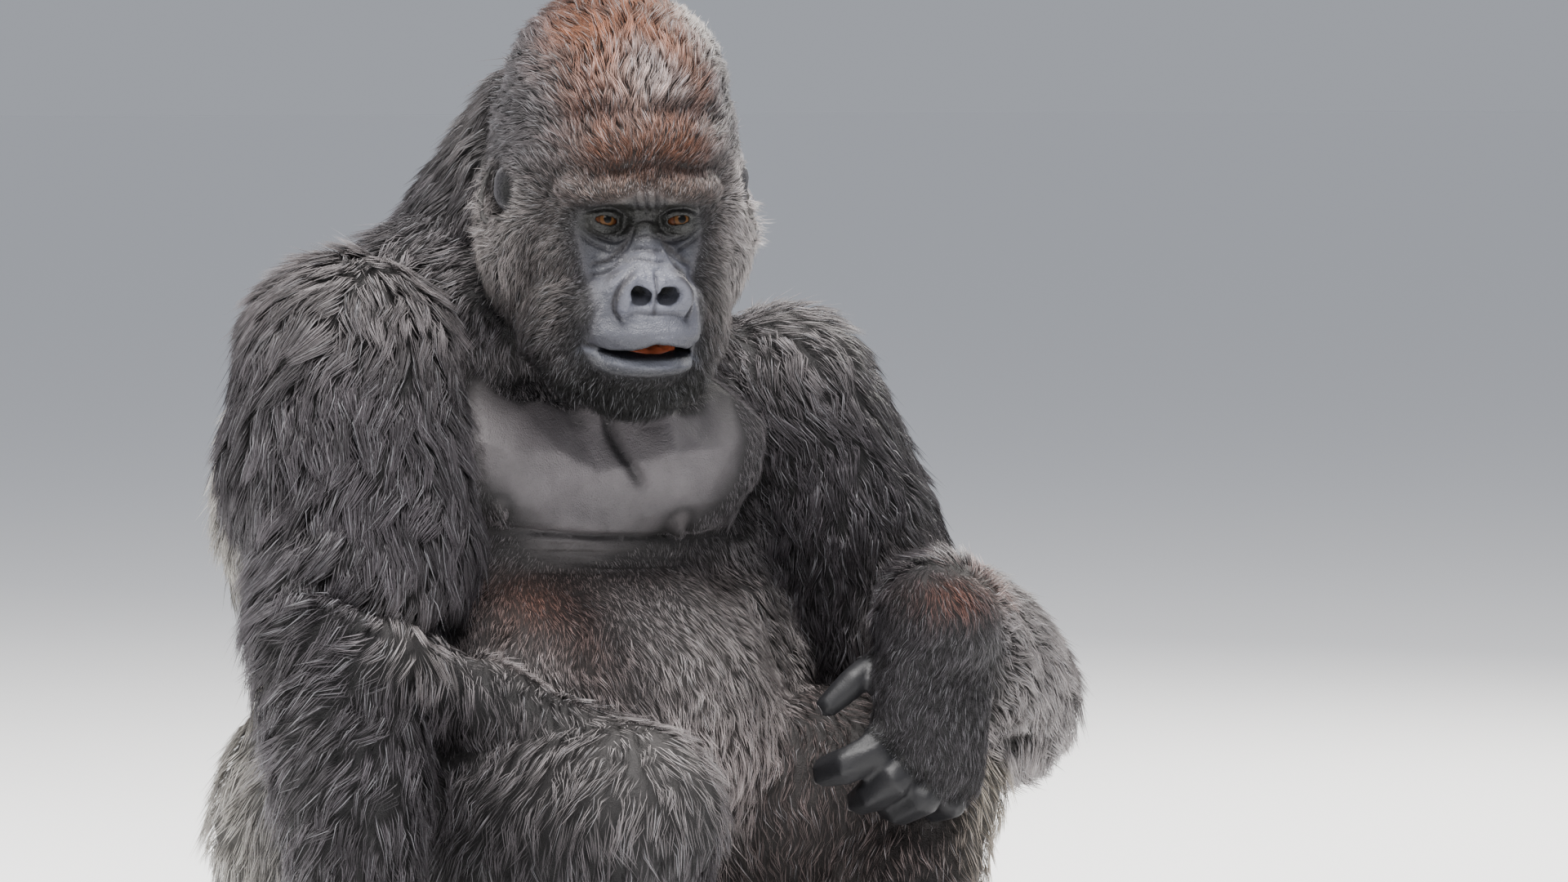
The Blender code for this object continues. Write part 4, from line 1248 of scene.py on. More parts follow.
FACE_CREASES = (
    # beside and over the bridge of the nose
    Crease(((-11, -5), (-16, -17), (-24, -26), (-34, -34), (-46, -43)), 3.6, 2.2),
    Crease(((13, -7), (23, -22), (33, -31), (49, -44)), 3.6, 2.2),
    Crease(((19, -18), (26, -33), (37, -46), (46, -57)), 2.4, 1.8),
    Crease(((-14, -16), (-22, -31), (-34, -42), (-46, -52)), 2.2, 1.8),
    Crease(((-16, -24), (-5, -20), (6, -22), (17, -24)), 1.8, 1.5),
    Crease(((-21, -32), (-11, -26), (1, -28), (18, -30)), 2.0, 1.5),
    Crease(((-9, -12), (1, -9), (11, -12)), 1.8, 1.5),
    Crease(((-8, 2), (1, 5), (10, 2)), 1.8, 1.7),
    # between the brows
    Crease(((-2, 44), (-1, 26), (3, 8)), 2.6, 1.9),
    Crease(((9, 44), (10, 26), (9, 8)), 2.4, 1.8),
    Crease(((-13, 34), (-10, 22), (-6, 10)), 1.8, 1.8),
    Crease(((20, 34), (18, 22), (15, 10)), 1.8, 1.8),
    # folds under the eyes
    Crease(((-52, -2), (-44, -10), (-34, -13), (-24, -12), (-15, -6)), 1.0, 1.4),
    Crease(((-54, -8), (-46, -16), (-35, -19), (-24, -18), (-17, -12)), 2.2, 1.5),
    Crease(((-56, -15), (-47, -23), (-36, -26), (-26, -24)), 1.8, 1.6),
    Crease(((15, -6), (24, -12), (34, -14), (45, -12), (53, -4)), 1.0, 1.4),
    Crease(((18, -13), (26, -18), (36, -20), (47, -18), (56, -10)), 2.2, 1.5),
    Crease(((30, -26), (40, -27), (52, -22), (60, -15)), 1.8, 1.6),
    # folds over the eyes
    Crease(((-54, 5), (-45, 12), (-34, 14), (-24, 12), (-14, 3)), 1.6, 1.9),
    Crease(((14, 2), (24, 11), (34, 13), (45, 12), (54, 5)), 1.6, 1.9),
    # round the nose
    Crease(((-14, -35), (-27, -43), (-34, -57), (-34, -72), (-27, -80)), 3.4, 2.2),
    Crease(((21, -35), (34, -43), (41, -57), (41, -72), (34, -80)), 3.4, 2.2),
    Crease(((3.5, -36), (4, -46), (4, -56), (3, -74)), 2.6, 1.9),
    Crease(((-26, -76), (-10, -71), (4, -73), (18, -72), (34, -77)), 1.8, 2.6),
    Crease(((-44, -64), (-52, -80), (-56, -98), (-59, -119)), 1.4, 3.0),
    Crease(((50, -64), (57, -80), (61, -98), (63, -119)), 1.4, 3.0),
    # cheeks
    Crease(((-44, -50), (-52, -58), (-56, -68)), 1.6, 2.0),
    Crease(((50, -52), (58, -60), (62, -70)), 1.6, 2.0),
    # over the brows
    Crease(((-58, 34), (-40, 43), (-14, 52), (10, 54), (30, 52), (50, 44), (64, 34)), 2.6, 5.0),
)
FACE_RIDGES = (
    Crease(((-24, -72), (-27, -60), (-23, -48), (-15, -42), (-4, -42)), -7.5, 6.5),
    Crease(((31, -73), (35, -60), (31, -48), (23, -42), (12, -42)), -7.5, 6.5),
    Crease(((-14, -70), (-2, -67), (4, -60), (4, -48)), -3.0, 4.0),
    Crease(((22, -71), (10, -67), (4, -60), (4, -48)), -3.0, 4.0),
    Crease(((4, -6), (4, -20), (4, -36)), -2.5, 8.0),
    Crease(((-50, -4), (-42, -9), (-34, -10.5), (-25, -9.5), (-18, -5)), -1.0, 1.8),
    Crease(((17, -5), (25, -9.5), (34, -11), (43, -9), (51, -3)), -1.0, 1.8),
    Crease(((-53, 1), (-44, 8), (-34, 9.5), (-25, 8), (-16, 1)), -1.4, 2.2),
    Crease(((16, 1), (25, 8), (34, 9.5), (44, 8), (53, 1)), -1.4, 2.2),
    Crease(((-60, 20), (-46, 26), (-32, 29), (-14, 27), (2, 22)), -4.0, 9.0),
    Crease(((4, 22), (18, 26), (36, 29), (50, 26), (64, 19)), -4.0, 9.0),
    Crease(((-42, -122), (-26, -123), (-4, -124), (22, -125), (52, -129)), -1.4, 2.6),
    Crease(((-50, -108), (-30, -105), (-8, -101), (8, -95), (22, -98), (40, -106), (56, -119)), -0.9, 3.4),
    Crease(((-48, -92), (-30, -92), (-10, -90)), -1.2, 9.0),
    Crease(((54, -92), (36, -92), (18, -90)), -1.2, 9.0),
)
CHEST_CREASES = (
    Crease(((-225, 496), (-150, 491), (-108, 487), (-64, 483), (-15, 481), (37, 480), (120, 486)), 9.0, 4.0),
    Crease(((-210, 480), (-110, 478), (-40, 474), (80, 473)), 2.4, 2.2),
    Crease(((-200, 473), (-108, 470), (-40, 466), (72, 466)), 3.0, 2.2),
    Crease(((-190, 466), (-106, 462), (-40, 458), (70, 459)), 2.6, 2.2),
    Crease(((-170, 458), (-106, 454), (-40, 450), (60, 451)), 2.0, 2.4),
    Crease(((-70, 625), (-68, 590), (-62, 566), (-50, 545), (-42, 534)), 7.0, 6.0),
    Crease(((-235, 560), (-214, 520), (-208, 480)), 8.0, 7.0),
    Crease(((118, 560), (112, 520), (108, 485)), 8.0, 7.0),
    Crease(((-190, 505), (-120, 500), (-70, 497)), -6.0, 12.0),
    Crease(((-40, 495), (30, 494), (95, 500)), -6.0, 12.0),
    Crease(((-84, 600), (-92, 560), (-84, 530)), -3.0, 12.0),
    Crease(((-30, 590), (-26, 560), (-28, 535)), -3.0, 12.0),
)
BODY_FOLDS = (  # a line over the surface in metres, depth and half width; a roll is below zero
    (((-0.4, -0.11, 0.465), (-0.36, -0.13, 0.44), (-0.29, -0.11, 0.42), (-0.2, -0.05, 0.4)), 0.016, 0.016),
    (((-0.43, -0.09, 0.43), (-0.37, -0.14, 0.405), (-0.31, -0.13, 0.395)), -0.01, 0.022),
    (((0.36, -0.1, 0.275), (0.33, -0.12, 0.265), (0.3, -0.15, 0.27)), 0.014, 0.016),
)
ROLLS = (  # rolls of hair over the solids: place and radius of their joints
    (  # from the right elbow to the knee
        ((-0.32, -0.085, 0.37), 0.052),
        ((-0.25, -0.075, 0.345), 0.05),
        ((-0.19, -0.1, 0.315), 0.048),
        ((-0.15, -0.17, 0.29), 0.045),
    ),
    (  # from the left wrist along the forearm
        ((0.225, -0.195, 0.41), 0.036),
        ((0.25, -0.175, 0.385), 0.042),
        ((0.285, -0.155, 0.357), 0.043),
        ((0.318, -0.128, 0.33), 0.04),
    ),
)
NIPPLES = ((-0.195, 0.515), (0.004, 0.496))


@dataclass
class Skin:
    """One closed skin over head, trunk, limbs, fingers and toes.

    Attributes:
        head_voxel: Edge of the voxels that the head is melted with.
        body_voxel: The same for the rest.
        puff: How far the solids are swollen first, so that the cuts between them close.
        rise: Height of a tuft's tip over the skin, as a share of its length.
        nest: How much deeper the body's own head lies than the worked one.
        socket: Radius of the lids round an eyeball.
        ear_shift: How far the ears move in the head's frame, the first number to their own side.
        head_triangles: Triangles left on the head.
        body_triangles: Triangles left on the rest.
        finish: Its material.
    """

    head: HeadFrame
    grooming: Grooming
    head_voxel: float = 0.0017
    body_voxel: float = 0.0036
    puff: float = 0.0007
    rise: float = 0.27
    nest: float = 0.007
    socket: float = 0.017
    ear_shift: Point = (-0.007, -0.008, 0.004)
    head_triangles: int = 96_000
    body_triangles: int = 98_000
    finish: SkinFinish = SkinFinish()
    obj: bpy.types.Object = field(init=False)

    def build(self, nodes: dict[str, bpy.types.Object]) -> bpy.types.Object:
        """Makes the skin.

        Args:
            nodes: The frame's nodes.

        Returns:
            The finished piece.
        """
        flesh = [name for name in nodes if not name.startswith(("eye_", "tongue"))]
        finder = NodeFinder(nodes, flesh)
        self.part_numbers = np.array([part_of_node(name).value for name in finder.flesh])
        self.finder = finder
        head = self._work_head(nodes)
        body = self._work_body(nodes, flesh)
        LOG.info("head %d and body %d triangles", count_of(head), count_of(body))
        combine(body, head, "UNION")
        body.name = body.data.name = "skin"
        self.obj = body
        self._finish(body)
        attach(body, "root")
        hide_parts(*flesh)
        return body

    def _melted(
        self, name: str, nodes: Iterable[bpy.types.Object], extra: Callable | None
    ) -> bpy.types.Object:
        """One object with copies of the nodes, welded and swollen a little.

        Args:
            name: Name of the new object.
            nodes: Nodes to copy.
            extra: Adds more to the form, or None.

        Returns:
            The object, not melted yet.
        """
        form = bmesh.new()
        for node in nodes:
            start = len(form.verts)
            form.from_mesh(node.data)
            if node.name.startswith("ear_"):
                form.verts.ensure_lookup_table()
                outward = -1.0 if node.name.endswith("right") else 1.0
                shift = self.head.turned(np.array([[self.ear_shift[0] * outward, *self.ear_shift[1:]]]))[0]
                bmesh.ops.translate(form, verts=form.verts[start:], vec=Vector(shift))
        bmesh.ops.remove_doubles(form, verts=form.verts, dist=1e-5)
        form.normal_update()
        for vertex in form.verts:
            vertex.co += vertex.normal * self.puff
        if extra:
            extra(form)
        return object_from_form(name, form)

    def labels(self, points: Array) -> Array:
        """The part of the body that each point is on."""
        return self.part_numbers[self.finder.nearest(points)]

    def hair(self, points: Array, parts: Array) -> tuple[Array, Array, Array]:
        """Direction, length and lift of the hair, with none where the gorilla is bare.

        Args:
            points: Rows of places.
            parts: The part of the body that each point is on.

        Returns:
            Directions, lengths and lifts.
        """
        chunk = 20_000
        read = [
            self.grooming.read(points[start : start + chunk], parts[start : start + chunk])
            for start in range(0, len(points), chunk)
        ]
        towards, length, lift = (np.concatenate(rows) for rows in zip(*read))
        on_head = parts == Part.HEAD.value
        local = self.head.into(points)
        length = np.where(on_head, length * (1.0 - face_share(local)), length)
        length = np.where(parts == Part.EAR.value, 0.0, length)
        rough_edge = points[:, 2] + 0.015 * waves(points, 0.05, 11) - 0.2 * np.abs(points[:, 0] + 0.07)
        collar = (parts == Part.TRUNK.value) * ramp(rough_edge, 0.575, 0.64) * 0.022
        length = np.maximum(length, collar)
        before_ear = np.maximum(*(bell(local, (x, -0.028, 0.006), (0.03, 0.028, 0.028)) for x in (-0.1, 0.1)))
        length = np.where(on_head, length * (1.0 - 0.55 * before_ear), length)
        return towards, length, lift

    # -- Head --
    def _work_head(self, nodes: dict[str, bpy.types.Object]) -> bpy.types.Object:
        """The head with its lids, mouth and folds, at full detail."""
        names = ("head", "jaw", "ear_right", "ear_left")
        head = self._melted("head skin", [nodes[name] for name in names], self._add_sockets)
        remesh(head, self.head_voxel, 2)
        for cutter in self._openings():
            combine(head, cutter, "DIFFERENCE")
        remesh(head, self.head_voxel, 5)
        refine(head, lambda points: face_share(self.head.into(points)) > 0.2)
        self._sculpt(head)
        points = read_points(head.data)
        ears = (self.labels(points) == Part.EAR.value) * 0.4
        keep = 0.2 + 0.7 * face_share(self.head.into(points))
        thin_out(head, self.head_triangles, np.clip(keep + ears, 0.0, 0.9))
        return head

    def _add_sockets(self, form: bmesh.types.BMesh) -> None:
        """Adds a ball round each eye, which becomes its lids."""
        for word in SIDES:
            low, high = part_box(f"eye_{word}")
            place = Matrix.Translation((low + high) / 2)
            bmesh.ops.create_icosphere(form, subdivisions=4, radius=self.socket, matrix=place)

    def _openings(self) -> list[bpy.types.Object]:
        """The forms cut out of the head: the slits between the lids, and the mouth."""
        cutters = []
        half_width, up, down, slant, tilt = 0.0116, 0.0043, 0.004, 10.0, 15.0
        for side in SIDES.values():
            outline = []
            for step in range(24):
                angle = 2 * math.pi * step / 24
                x = half_width * math.cos(angle)
                rise = up if math.sin(angle) > 0 else down
                z = rise * math.copysign(abs(math.sin(angle)) ** 1.25, math.sin(angle))
                outline.append(Vector((x, 0.0, z)))
            turn = Matrix.Rotation(math.radians(-slant) * side, 4, "Y")
            turn = Matrix.Rotation(math.radians(-tilt), 4, "X") @ turn
            centre = Vector((side * 0.0342, -self.head.eye_depth, self.head.eye_rise - 0.0008))
            place = self.head.matrix @ Matrix.Translation(centre) @ turn
            cutters.append(prism("slit", outline, -0.04, 0.0, place))
        top = ((-50, -112), (-38, -111), (-26, -109), (-13, -106))
        top += ((4, -100), (18, -101.5), (31, -106), (44, -116))
        low = ((54, -125), (44, -121.5), (23, -117), (0, -115.5), (-14, -115), (-27, -114.2), (-40, -113.8))
        outline = [Vector((x * 0.001, 0.0, z * 0.001)) for x, z in (*top, *low)]
        cutters.append(prism("mouth", outline, -0.2, -0.088, self.head.matrix))
        return cutters

    def _sculpt(self, head: bpy.types.Object) -> None:
        """Sinks the coat's depth and works the folds into the head."""
        mesh = head.data
        points, edges = read_points(mesh), read_edges(mesh)
        parts = self.labels(points)
        normals = spread(read_normals(mesh), edges, 3)
        local = self.head.into(points)
        parts = np.where(parts == Part.EAR.value, parts, Part.HEAD.value)
        _, length, _ = self.hair(points, parts)
        behind_lips = (local[:, 1] > -0.125) & (np.abs(local[:, 0]) < 0.05)
        behind_lips &= np.abs(local[:, 2] + 0.11) < 0.02
        sink = spread(np.where(behind_lips, 0.0, length) * self.rise, edges, 12)
        front = ramp(-(normals @ self.head.turned(np.array([[0.0, 1.0, 0.0]]))[0]), 0.05, 0.35)
        front *= local[:, 1] < -0.05
        flat = local[:, (0, 2)]
        lid_gap = np.minimum(*(np.hypot(flat[:, 0] - x, flat[:, 1] - 0.003) for x in (-0.0342, 0.0342)))
        creases = 1.25 * sum(crease.depths(flat) for crease in FACE_CREASES)
        creases = (creases + sum(crease.depths(flat) for crease in FACE_RIDGES)) * front
        creases += 0.016 * nostril_share(flat) * front
        before_ear = np.maximum(*(bell(local, (x, -0.03, 0.006), (0.03, 0.02, 0.026)) for x in (-0.1, 0.1)))
        creases += 0.004 * before_ear
        sag = 0.0003 * waves(local * np.array([1.0, 0.4, 1.6]), 0.012, 5) * face_share(local) * front
        sag *= ramp(lid_gap, 0.01, 0.018)
        write_points(mesh, points - normals * (sink + creases + sag)[:, None])

    # -- Body --
    def _work_body(self, nodes: dict[str, bpy.types.Object], flesh: list[str]) -> bpy.types.Object:
        """The rest of the body, with a plug that fills the worked head."""
        solids = [nodes[name] for name in flesh if not name.startswith("ear_")]
        body = self._melted("body skin", solids, self._add_rolls)
        remesh(body, self.body_voxel, 2)
        low, high = np.array((-0.235, -0.2, 0.44)), np.array((0.125, 0.06, 0.63))
        refine(body, lambda points: ((points > low) & (points < high)).all(axis=1))
        mesh = body.data
        points, edges = read_points(mesh), read_edges(mesh)
        parts = self.labels(points)
        normals = spread(read_normals(mesh), edges, 2)
        _, length, _ = self.hair(points, parts)
        sink = length * self.rise
        local = self.head.into(points)
        on_head = (parts == Part.HEAD.value) * 1.0
        sink = spread(sink + on_head * self.nest, edges, 8)
        keep_out = on_head * ramp(-local[:, 1], 0.0, 0.05)
        sink += spread(keep_out, edges, 4) * 0.02
        flat = points[:, (0, 2)]
        facing = (parts == Part.TRUNK.value) * (1.0 - ramp(normals[:, 1], -0.1, 0.3)) * (points[:, 1] < 0.08)
        sink += sum(crease.depths(flat) for crease in CHEST_CREASES) * facing
        for x, z in NIPPLES:
            gap = np.hypot(flat[:, 0] - x, flat[:, 1] - z)
            sink -= (0.016 * np.exp(-((gap / 0.0085) ** 2)) - 0.004 * np.exp(-((gap / 0.018) ** 2))) * facing
        for path, depth, width in BODY_FOLDS:
            gap, _ = stroke_distance(points, path)
            sink += depth * np.exp(-((gap / width) ** 2))
        bare = ramp(length, 0.012, 0.004)
        sink += 0.0008 * waves(points, 0.04, 8) * bare * facing
        digit = (parts == Part.DIGIT.value) * 1.0
        write_points(mesh, points - normals * sink[:, None])
        keep = np.clip(0.15 + 0.75 * bare * facing + 0.75 * digit, 0.0, 0.9)
        thin_out(body, self.body_triangles, keep)
        self._open_face(body)
        return body

    @staticmethod
    def _add_rolls(form: bmesh.types.BMesh) -> None:
        """Adds the rolls of hair as rows of balls."""
        steps = 8
        for roll in ROLLS:
            for (start, thick), (end, thin) in zip(roll, roll[1:]):
                for step in range(steps + 1):
                    share = step / steps
                    place = Matrix.Translation(Vector(start).lerp(Vector(end), share))
                    radius = thick + (thin - thick) * share
                    bmesh.ops.create_icosphere(form, subdivisions=3, radius=radius, matrix=place)

    def _open_face(self, body: bpy.types.Object) -> None:
        """Cuts the front off the plug inside the head, clear of the mouth and the eyes."""
        half = 0.15
        outline = [Vector((x, 0.0, z)) for x, z in ((-half, 0.2), (half, 0.2), (half, -0.16), (-half, -0.16))]
        combine(body, prism("face room", outline, -0.25, -0.045, self.head.matrix), "DIFFERENCE")

    def _finish(self, body: bpy.types.Object) -> None:
        """Stores colours and bareness, and gives the skin its material."""
        mesh = body.data
        points, edges = read_points(mesh), read_edges(mesh)
        parts = self.labels(points)
        self.parts = parts
        self.towards, length, self.lift = self.hair(points, parts)
        self.length = spread(length, edges, 2)
        local = self.head.into(points)
        bare = ramp(self.length, 0.009, 0.003)
        colours = Markings(self.head).colours(points, parts, bare)
        colours = spread(colours, edges, 2)
        inside = (parts == Part.HEAD.value) & (np.abs(local[:, 0]) < 0.052) & (local[:, 2] < -0.095)
        inside &= (local[:, 2] > -0.13) & (local[:, 1] > -0.128) & (local[:, 1] < -0.06)
        lay(colours, MOUTH_INSIDE, inside * 1.0)
        # Painted shade: the skin under the coat is darkened so that the gaps between tufts read as shadow.
        shade_under_coat = 0.12
        write_colour(mesh, "markings", colours * (shade_under_coat + (1.0 - shade_under_coat) * bare)[:, None])
        write_number(mesh, "bare", bare)
        write_number(mesh, "polished", (parts == Part.DIGIT.value) * bare)
        self.colours = colours
        mesh.materials.clear()
        mesh.materials.append(self.finish.material())
        select_only(body)
        bpy.ops.object.shade_smooth()


def count_of(obj: bpy.types.Object) -> int:
    """Triangles of the object."""
    obj.data.calc_loop_triangles()
    return len(obj.data.loop_triangles)


def prism(name: str, outline: Sequence[Vector], front: float, back: float, place: Matrix) -> bpy.types.Object:
    """A straight block with the outline as its section, running along Y.

    Args:
        name: Name of the object.
        outline: Corners of the section, with y zero.
        front: Where it starts along Y.
        back: Where it ends.
        place: Where the block goes.

    Returns:
        The closed object.
    """
    form = bmesh.new()
    rings = []
    for y in (front, back):
        rings.append([form.verts.new(place @ (corner + Vector((0.0, y, 0.0)))) for corner in outline])
    near, far = rings
    form.faces.new(near)
    form.faces.new(far[::-1])
    for first, second, third, fourth in zip(near, near[1:] + near[:1], far[1:] + far[:1], far):
        form.faces.new((first, second, third, fourth))
    bmesh.ops.triangulate(form, faces=form.faces)
    bmesh.ops.recalc_face_normals(form, faces=form.faces)
    return object_from_form(name, form)


# ---- Eyes, tongue and nails ----
@dataclass
class Eyes:
    """Two eyeballs with a bulging cornea.

    Attributes:
        head: The head's own frame.
        radius: Radius of an eyeball.
        bulge: How far the cornea stands out.
        apart: How far each eyeball lies outside the middle of its node.
        headings: Which way each eye looks: degrees round from -Y, and up.
        finish: Their material.
    """

    head: HeadFrame
    radius: float = 0.014
    bulge: float = 0.0012
    apart: float = 0.0012
    headings: tuple[tuple[float, float], ...] = ((-9.0, 4.0), (-7.0, 2.0))
    finish: EyeFinish = EyeFinish()

    def build(self) -> list[bpy.types.Object]:
        """Makes both eyes."""
        material = self.finish.material()
        made = []
        for word, (azimuth, up) in zip(SIDES, self.headings):
            low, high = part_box(f"eye_{word}")
            centre = np.array((low + high) / 2)
            centre += self.head.turned(np.array([[SIDES[word] * self.apart, 0.0, 0.0]]))[0]
            azimuth, up = math.radians(azimuth), math.radians(up)
            level = math.cos(up)
            gaze = np.array([math.sin(azimuth) * level, -math.cos(azimuth) * level, math.sin(up)])
            form = bmesh.new()
            bmesh.ops.create_icosphere(form, subdivisions=5, radius=self.radius)
            eye = object_from_form(f"eyeball_{word}", form)
            points = read_points(eye.data)
            ahead = points @ gaze
            gap = np.linalg.norm(points - ahead[:, None] * gaze, axis=1)
            cornea = np.clip(1.0 - (gap / (self.finish.iris_radius * 1.15)) ** 2, 0.0, 1.0) * (ahead > 0)
            write_points(eye.data, points * (1.0 + self.bulge / self.radius * cornea[:, None]) + centre)
            write_number(eye.data, "gaze_gap", np.where(ahead > 0, gap, 0.014))
            eye.data.materials.append(material)
            select_only(eye)
            bpy.ops.object.shade_smooth()
            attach(eye, "root")
            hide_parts(f"eye_{word}")
            made.append(eye)
        return made


@dataclass
class Tongue:
    """The tongue's tip, which shows between the lips.

    Attributes:
        centre: Middle of the tongue in the head's frame.
        size: Half its width, length and thickness.
        finish: Its material.
    """

    head: HeadFrame
    centre: Point = (0.008, -0.119, -0.1185)
    size: Point = (0.028, 0.032, 0.0085)
    finish: PlainFinish = PlainFinish("tongue", (0.48, 0.11, 0.045), 0.32, 0.0005, 500.0, 0.6)

    def build(self) -> bpy.types.Object:
        """Makes the tongue."""
        form = bmesh.new()
        place = self.head.matrix @ Matrix.Translation(self.centre) @ Matrix.Diagonal((*self.size, 1.0))
        bmesh.ops.create_icosphere(form, subdivisions=5, radius=1.0, matrix=place)
        tongue = object_from_form("tongue_tip", form)
        points = read_points(tongue.data)
        local = self.head.into(points)
        local[:, 2] -= 0.0022 * np.exp(-(((local[:, 0] - self.centre[0]) / 0.004) ** 2))
        local += 0.0005 * waves(local, 0.01, 3)[:, None]
        write_points(tongue.data, self.head.out(local))
        tongue.data.materials.append(self.finish.material())
        select_only(tongue)
        bpy.ops.object.shade_smooth()
        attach(tongue, "root")
        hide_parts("tongue")
        return tongue


# ---- Nails ----
@dataclass
class Nails:
    """Nails on all the fingers and toes, joined in one piece.

    Attributes:
        skin: The finished skin.
        size: Half the width, length and thickness of a finger's nail.
        back: From the tip of a digit back to the middle of its nail.
        curve: Radius that a nail is rounded to across its width.
        finish: Their material.
    """

    skin: "Skin"
    size: Point = (0.0056, 0.0068, 0.0013)
    back: float = 0.008
    curve: float = 0.0085
    finish: PlainFinish = PlainFinish("nail", (0.05, 0.045, 0.046), 0.32, 0.0002, 700.0)

    def build(self, nodes: dict[str, bpy.types.Object]) -> bpy.types.Object:
        """Makes the nails.

        Args:
            nodes: The frame's nodes.

        Returns:
            The piece.
        """
        mesh = self.skin.obj.data
        places = [tuple(place) for place in read_points(mesh)]
        tree = BVHTree.FromPolygons(places, read_triangles(mesh).tolist())
        digits = [f"{digit}_{word}" for word in SIDES for digit in (*FINGERS, *TOES)]
        form = bmesh.new()
        for digit in digits:
            side = digit.rsplit("_", 1)[-1]
            limb = "foot" if "toe" in digit else "hand"
            curled = limb == "hand" and side == "left"
            self._add_nail(form, tree, read_points(nodes[digit].data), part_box(f"{limb}_{side}"), curled)
        nails = object_from_form("nails", form)
        nails.data.materials.append(self.finish.material())
        select_only(nails)
        bpy.ops.object.shade_smooth()
        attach(nails, "root")
        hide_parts(*digits)
        return nails

    def _add_nail(
        self, form: bmesh.types.BMesh, tree: BVHTree, points: Array, box: tuple[Vector, Vector], curled: bool
    ) -> None:
        """Adds one nail.

        Args:
            form: Gets the nail.
            tree: The skin's triangles.
            points: Vertices of the digit.
            box: Box of the hand or foot.
            curled: Whether the digit is bent into the palm.
        """
        middle = np.array((box[0] + box[1]) / 2)
        tip = points[np.argmax(np.linalg.norm(points - middle, axis=1))]
        near = points[np.linalg.norm(points - tip, axis=1) < 0.024]
        axis = unit(tip - near.mean(axis=0))
        out = tip - middle if curled else np.array((0.0, 0.0, 1.0))
        out = unit(out - (out @ axis) * axis)
        start = Vector(tip - axis * self.back + out * 0.03)
        hit, normal, _, _ = tree.ray_cast(start, Vector(-out), 0.06)
        if hit is None:
            LOG.warning("no place for a nail at %s", tip)
            return
        up = normal.normalized()
        ahead = (Vector(axis) - up * up.dot(Vector(axis))).normalized()
        turn = Matrix((ahead.cross(up), ahead, up)).transposed().to_4x4()
        made = bmesh.ops.create_icosphere(form, subdivisions=3, radius=1.0)
        for vertex in made["verts"]:
            x, y, z = (part * half for part, half in zip(vertex.co, self.size))
            place = Vector((x, y, z - x * x / (2 * self.curve)))
            vertex.co = hit + turn @ place


# ---- The coat ----
@dataclass(frozen=True)
class Region:
    """One piece of the coat.

    Attributes:
        name: Name of the piece.
        nodes: Beginnings of the names of the nodes that it grows on.
        tufts: How many tufts it has.
        slot: Material slot; it is not used.
        within: Tells from places in the row frame and in the head's frame which belong to it.
        shortest: No tuft grows where the hair is shorter than this.
    """

    name: str
    nodes: tuple[str, ...]
    tufts: int
    slot: str = "fur"
    within: Callable[[Array, Array], Array] | None = None
    shortest: float = 0.008


BACK_LINE = 0.1  # the back's pieces begin behind this
WAIST = 0.42

HEAD_NODES = ("head", "jaw", "ear_")
TRUNK_NODES = ("chest", "abdomen")
HEAD_STUBBLE = 0.003  # shortest hair on the head

REGIONS = (
    Region("coat_crown", HEAD_NODES, 28_000, within=lambda p, q: q[:, 2] > 0.05, shortest=HEAD_STUBBLE),
    Region(
        "coat_temples", HEAD_NODES, 26_000, within=lambda p, q: abs(q[:, 2]) <= 0.05, shortest=HEAD_STUBBLE
    ),
    Region("coat_jaw", HEAD_NODES, 23_000, within=lambda p, q: q[:, 2] < -0.05, shortest=HEAD_STUBBLE),
    Region("coat_neck", ("neck",), 16_000),
    Region(
        "coat_upper_back",
        TRUNK_NODES,
        16_000,
        "silver_fur",
        lambda p, q: (p[:, 1] > BACK_LINE) & (p[:, 2] > WAIST),
    ),
    Region(
        "coat_lower_back",
        TRUNK_NODES,
        14_000,
        "silver_fur",
        lambda p, q: (p[:, 1] > BACK_LINE) & (p[:, 2] <= WAIST),
    ),
    Region("coat_belly", TRUNK_NODES, 22_000, within=lambda p, q: p[:, 1] <= BACK_LINE),
    Region("coat_upper_arm_right", ("upper_arm_right",), 22_000),
    Region("coat_forearm_right", ("forearm_right", "hand_right"), 16_000),
    Region("coat_upper_arm_left", ("upper_arm_left",), 15_000),
    Region(
        "coat_forearm_left",
        ("forearm_left", "hand_left", *(f"{finger}_left" for finger in FINGERS)),
        21_000,
    ),
    Region("coat_leg_right", ("thigh_right", "shin_right", "foot_right"), 14_000),
    Region("coat_leg_left", ("thigh_left", "shin_left", "foot_left"), 11_000),
)


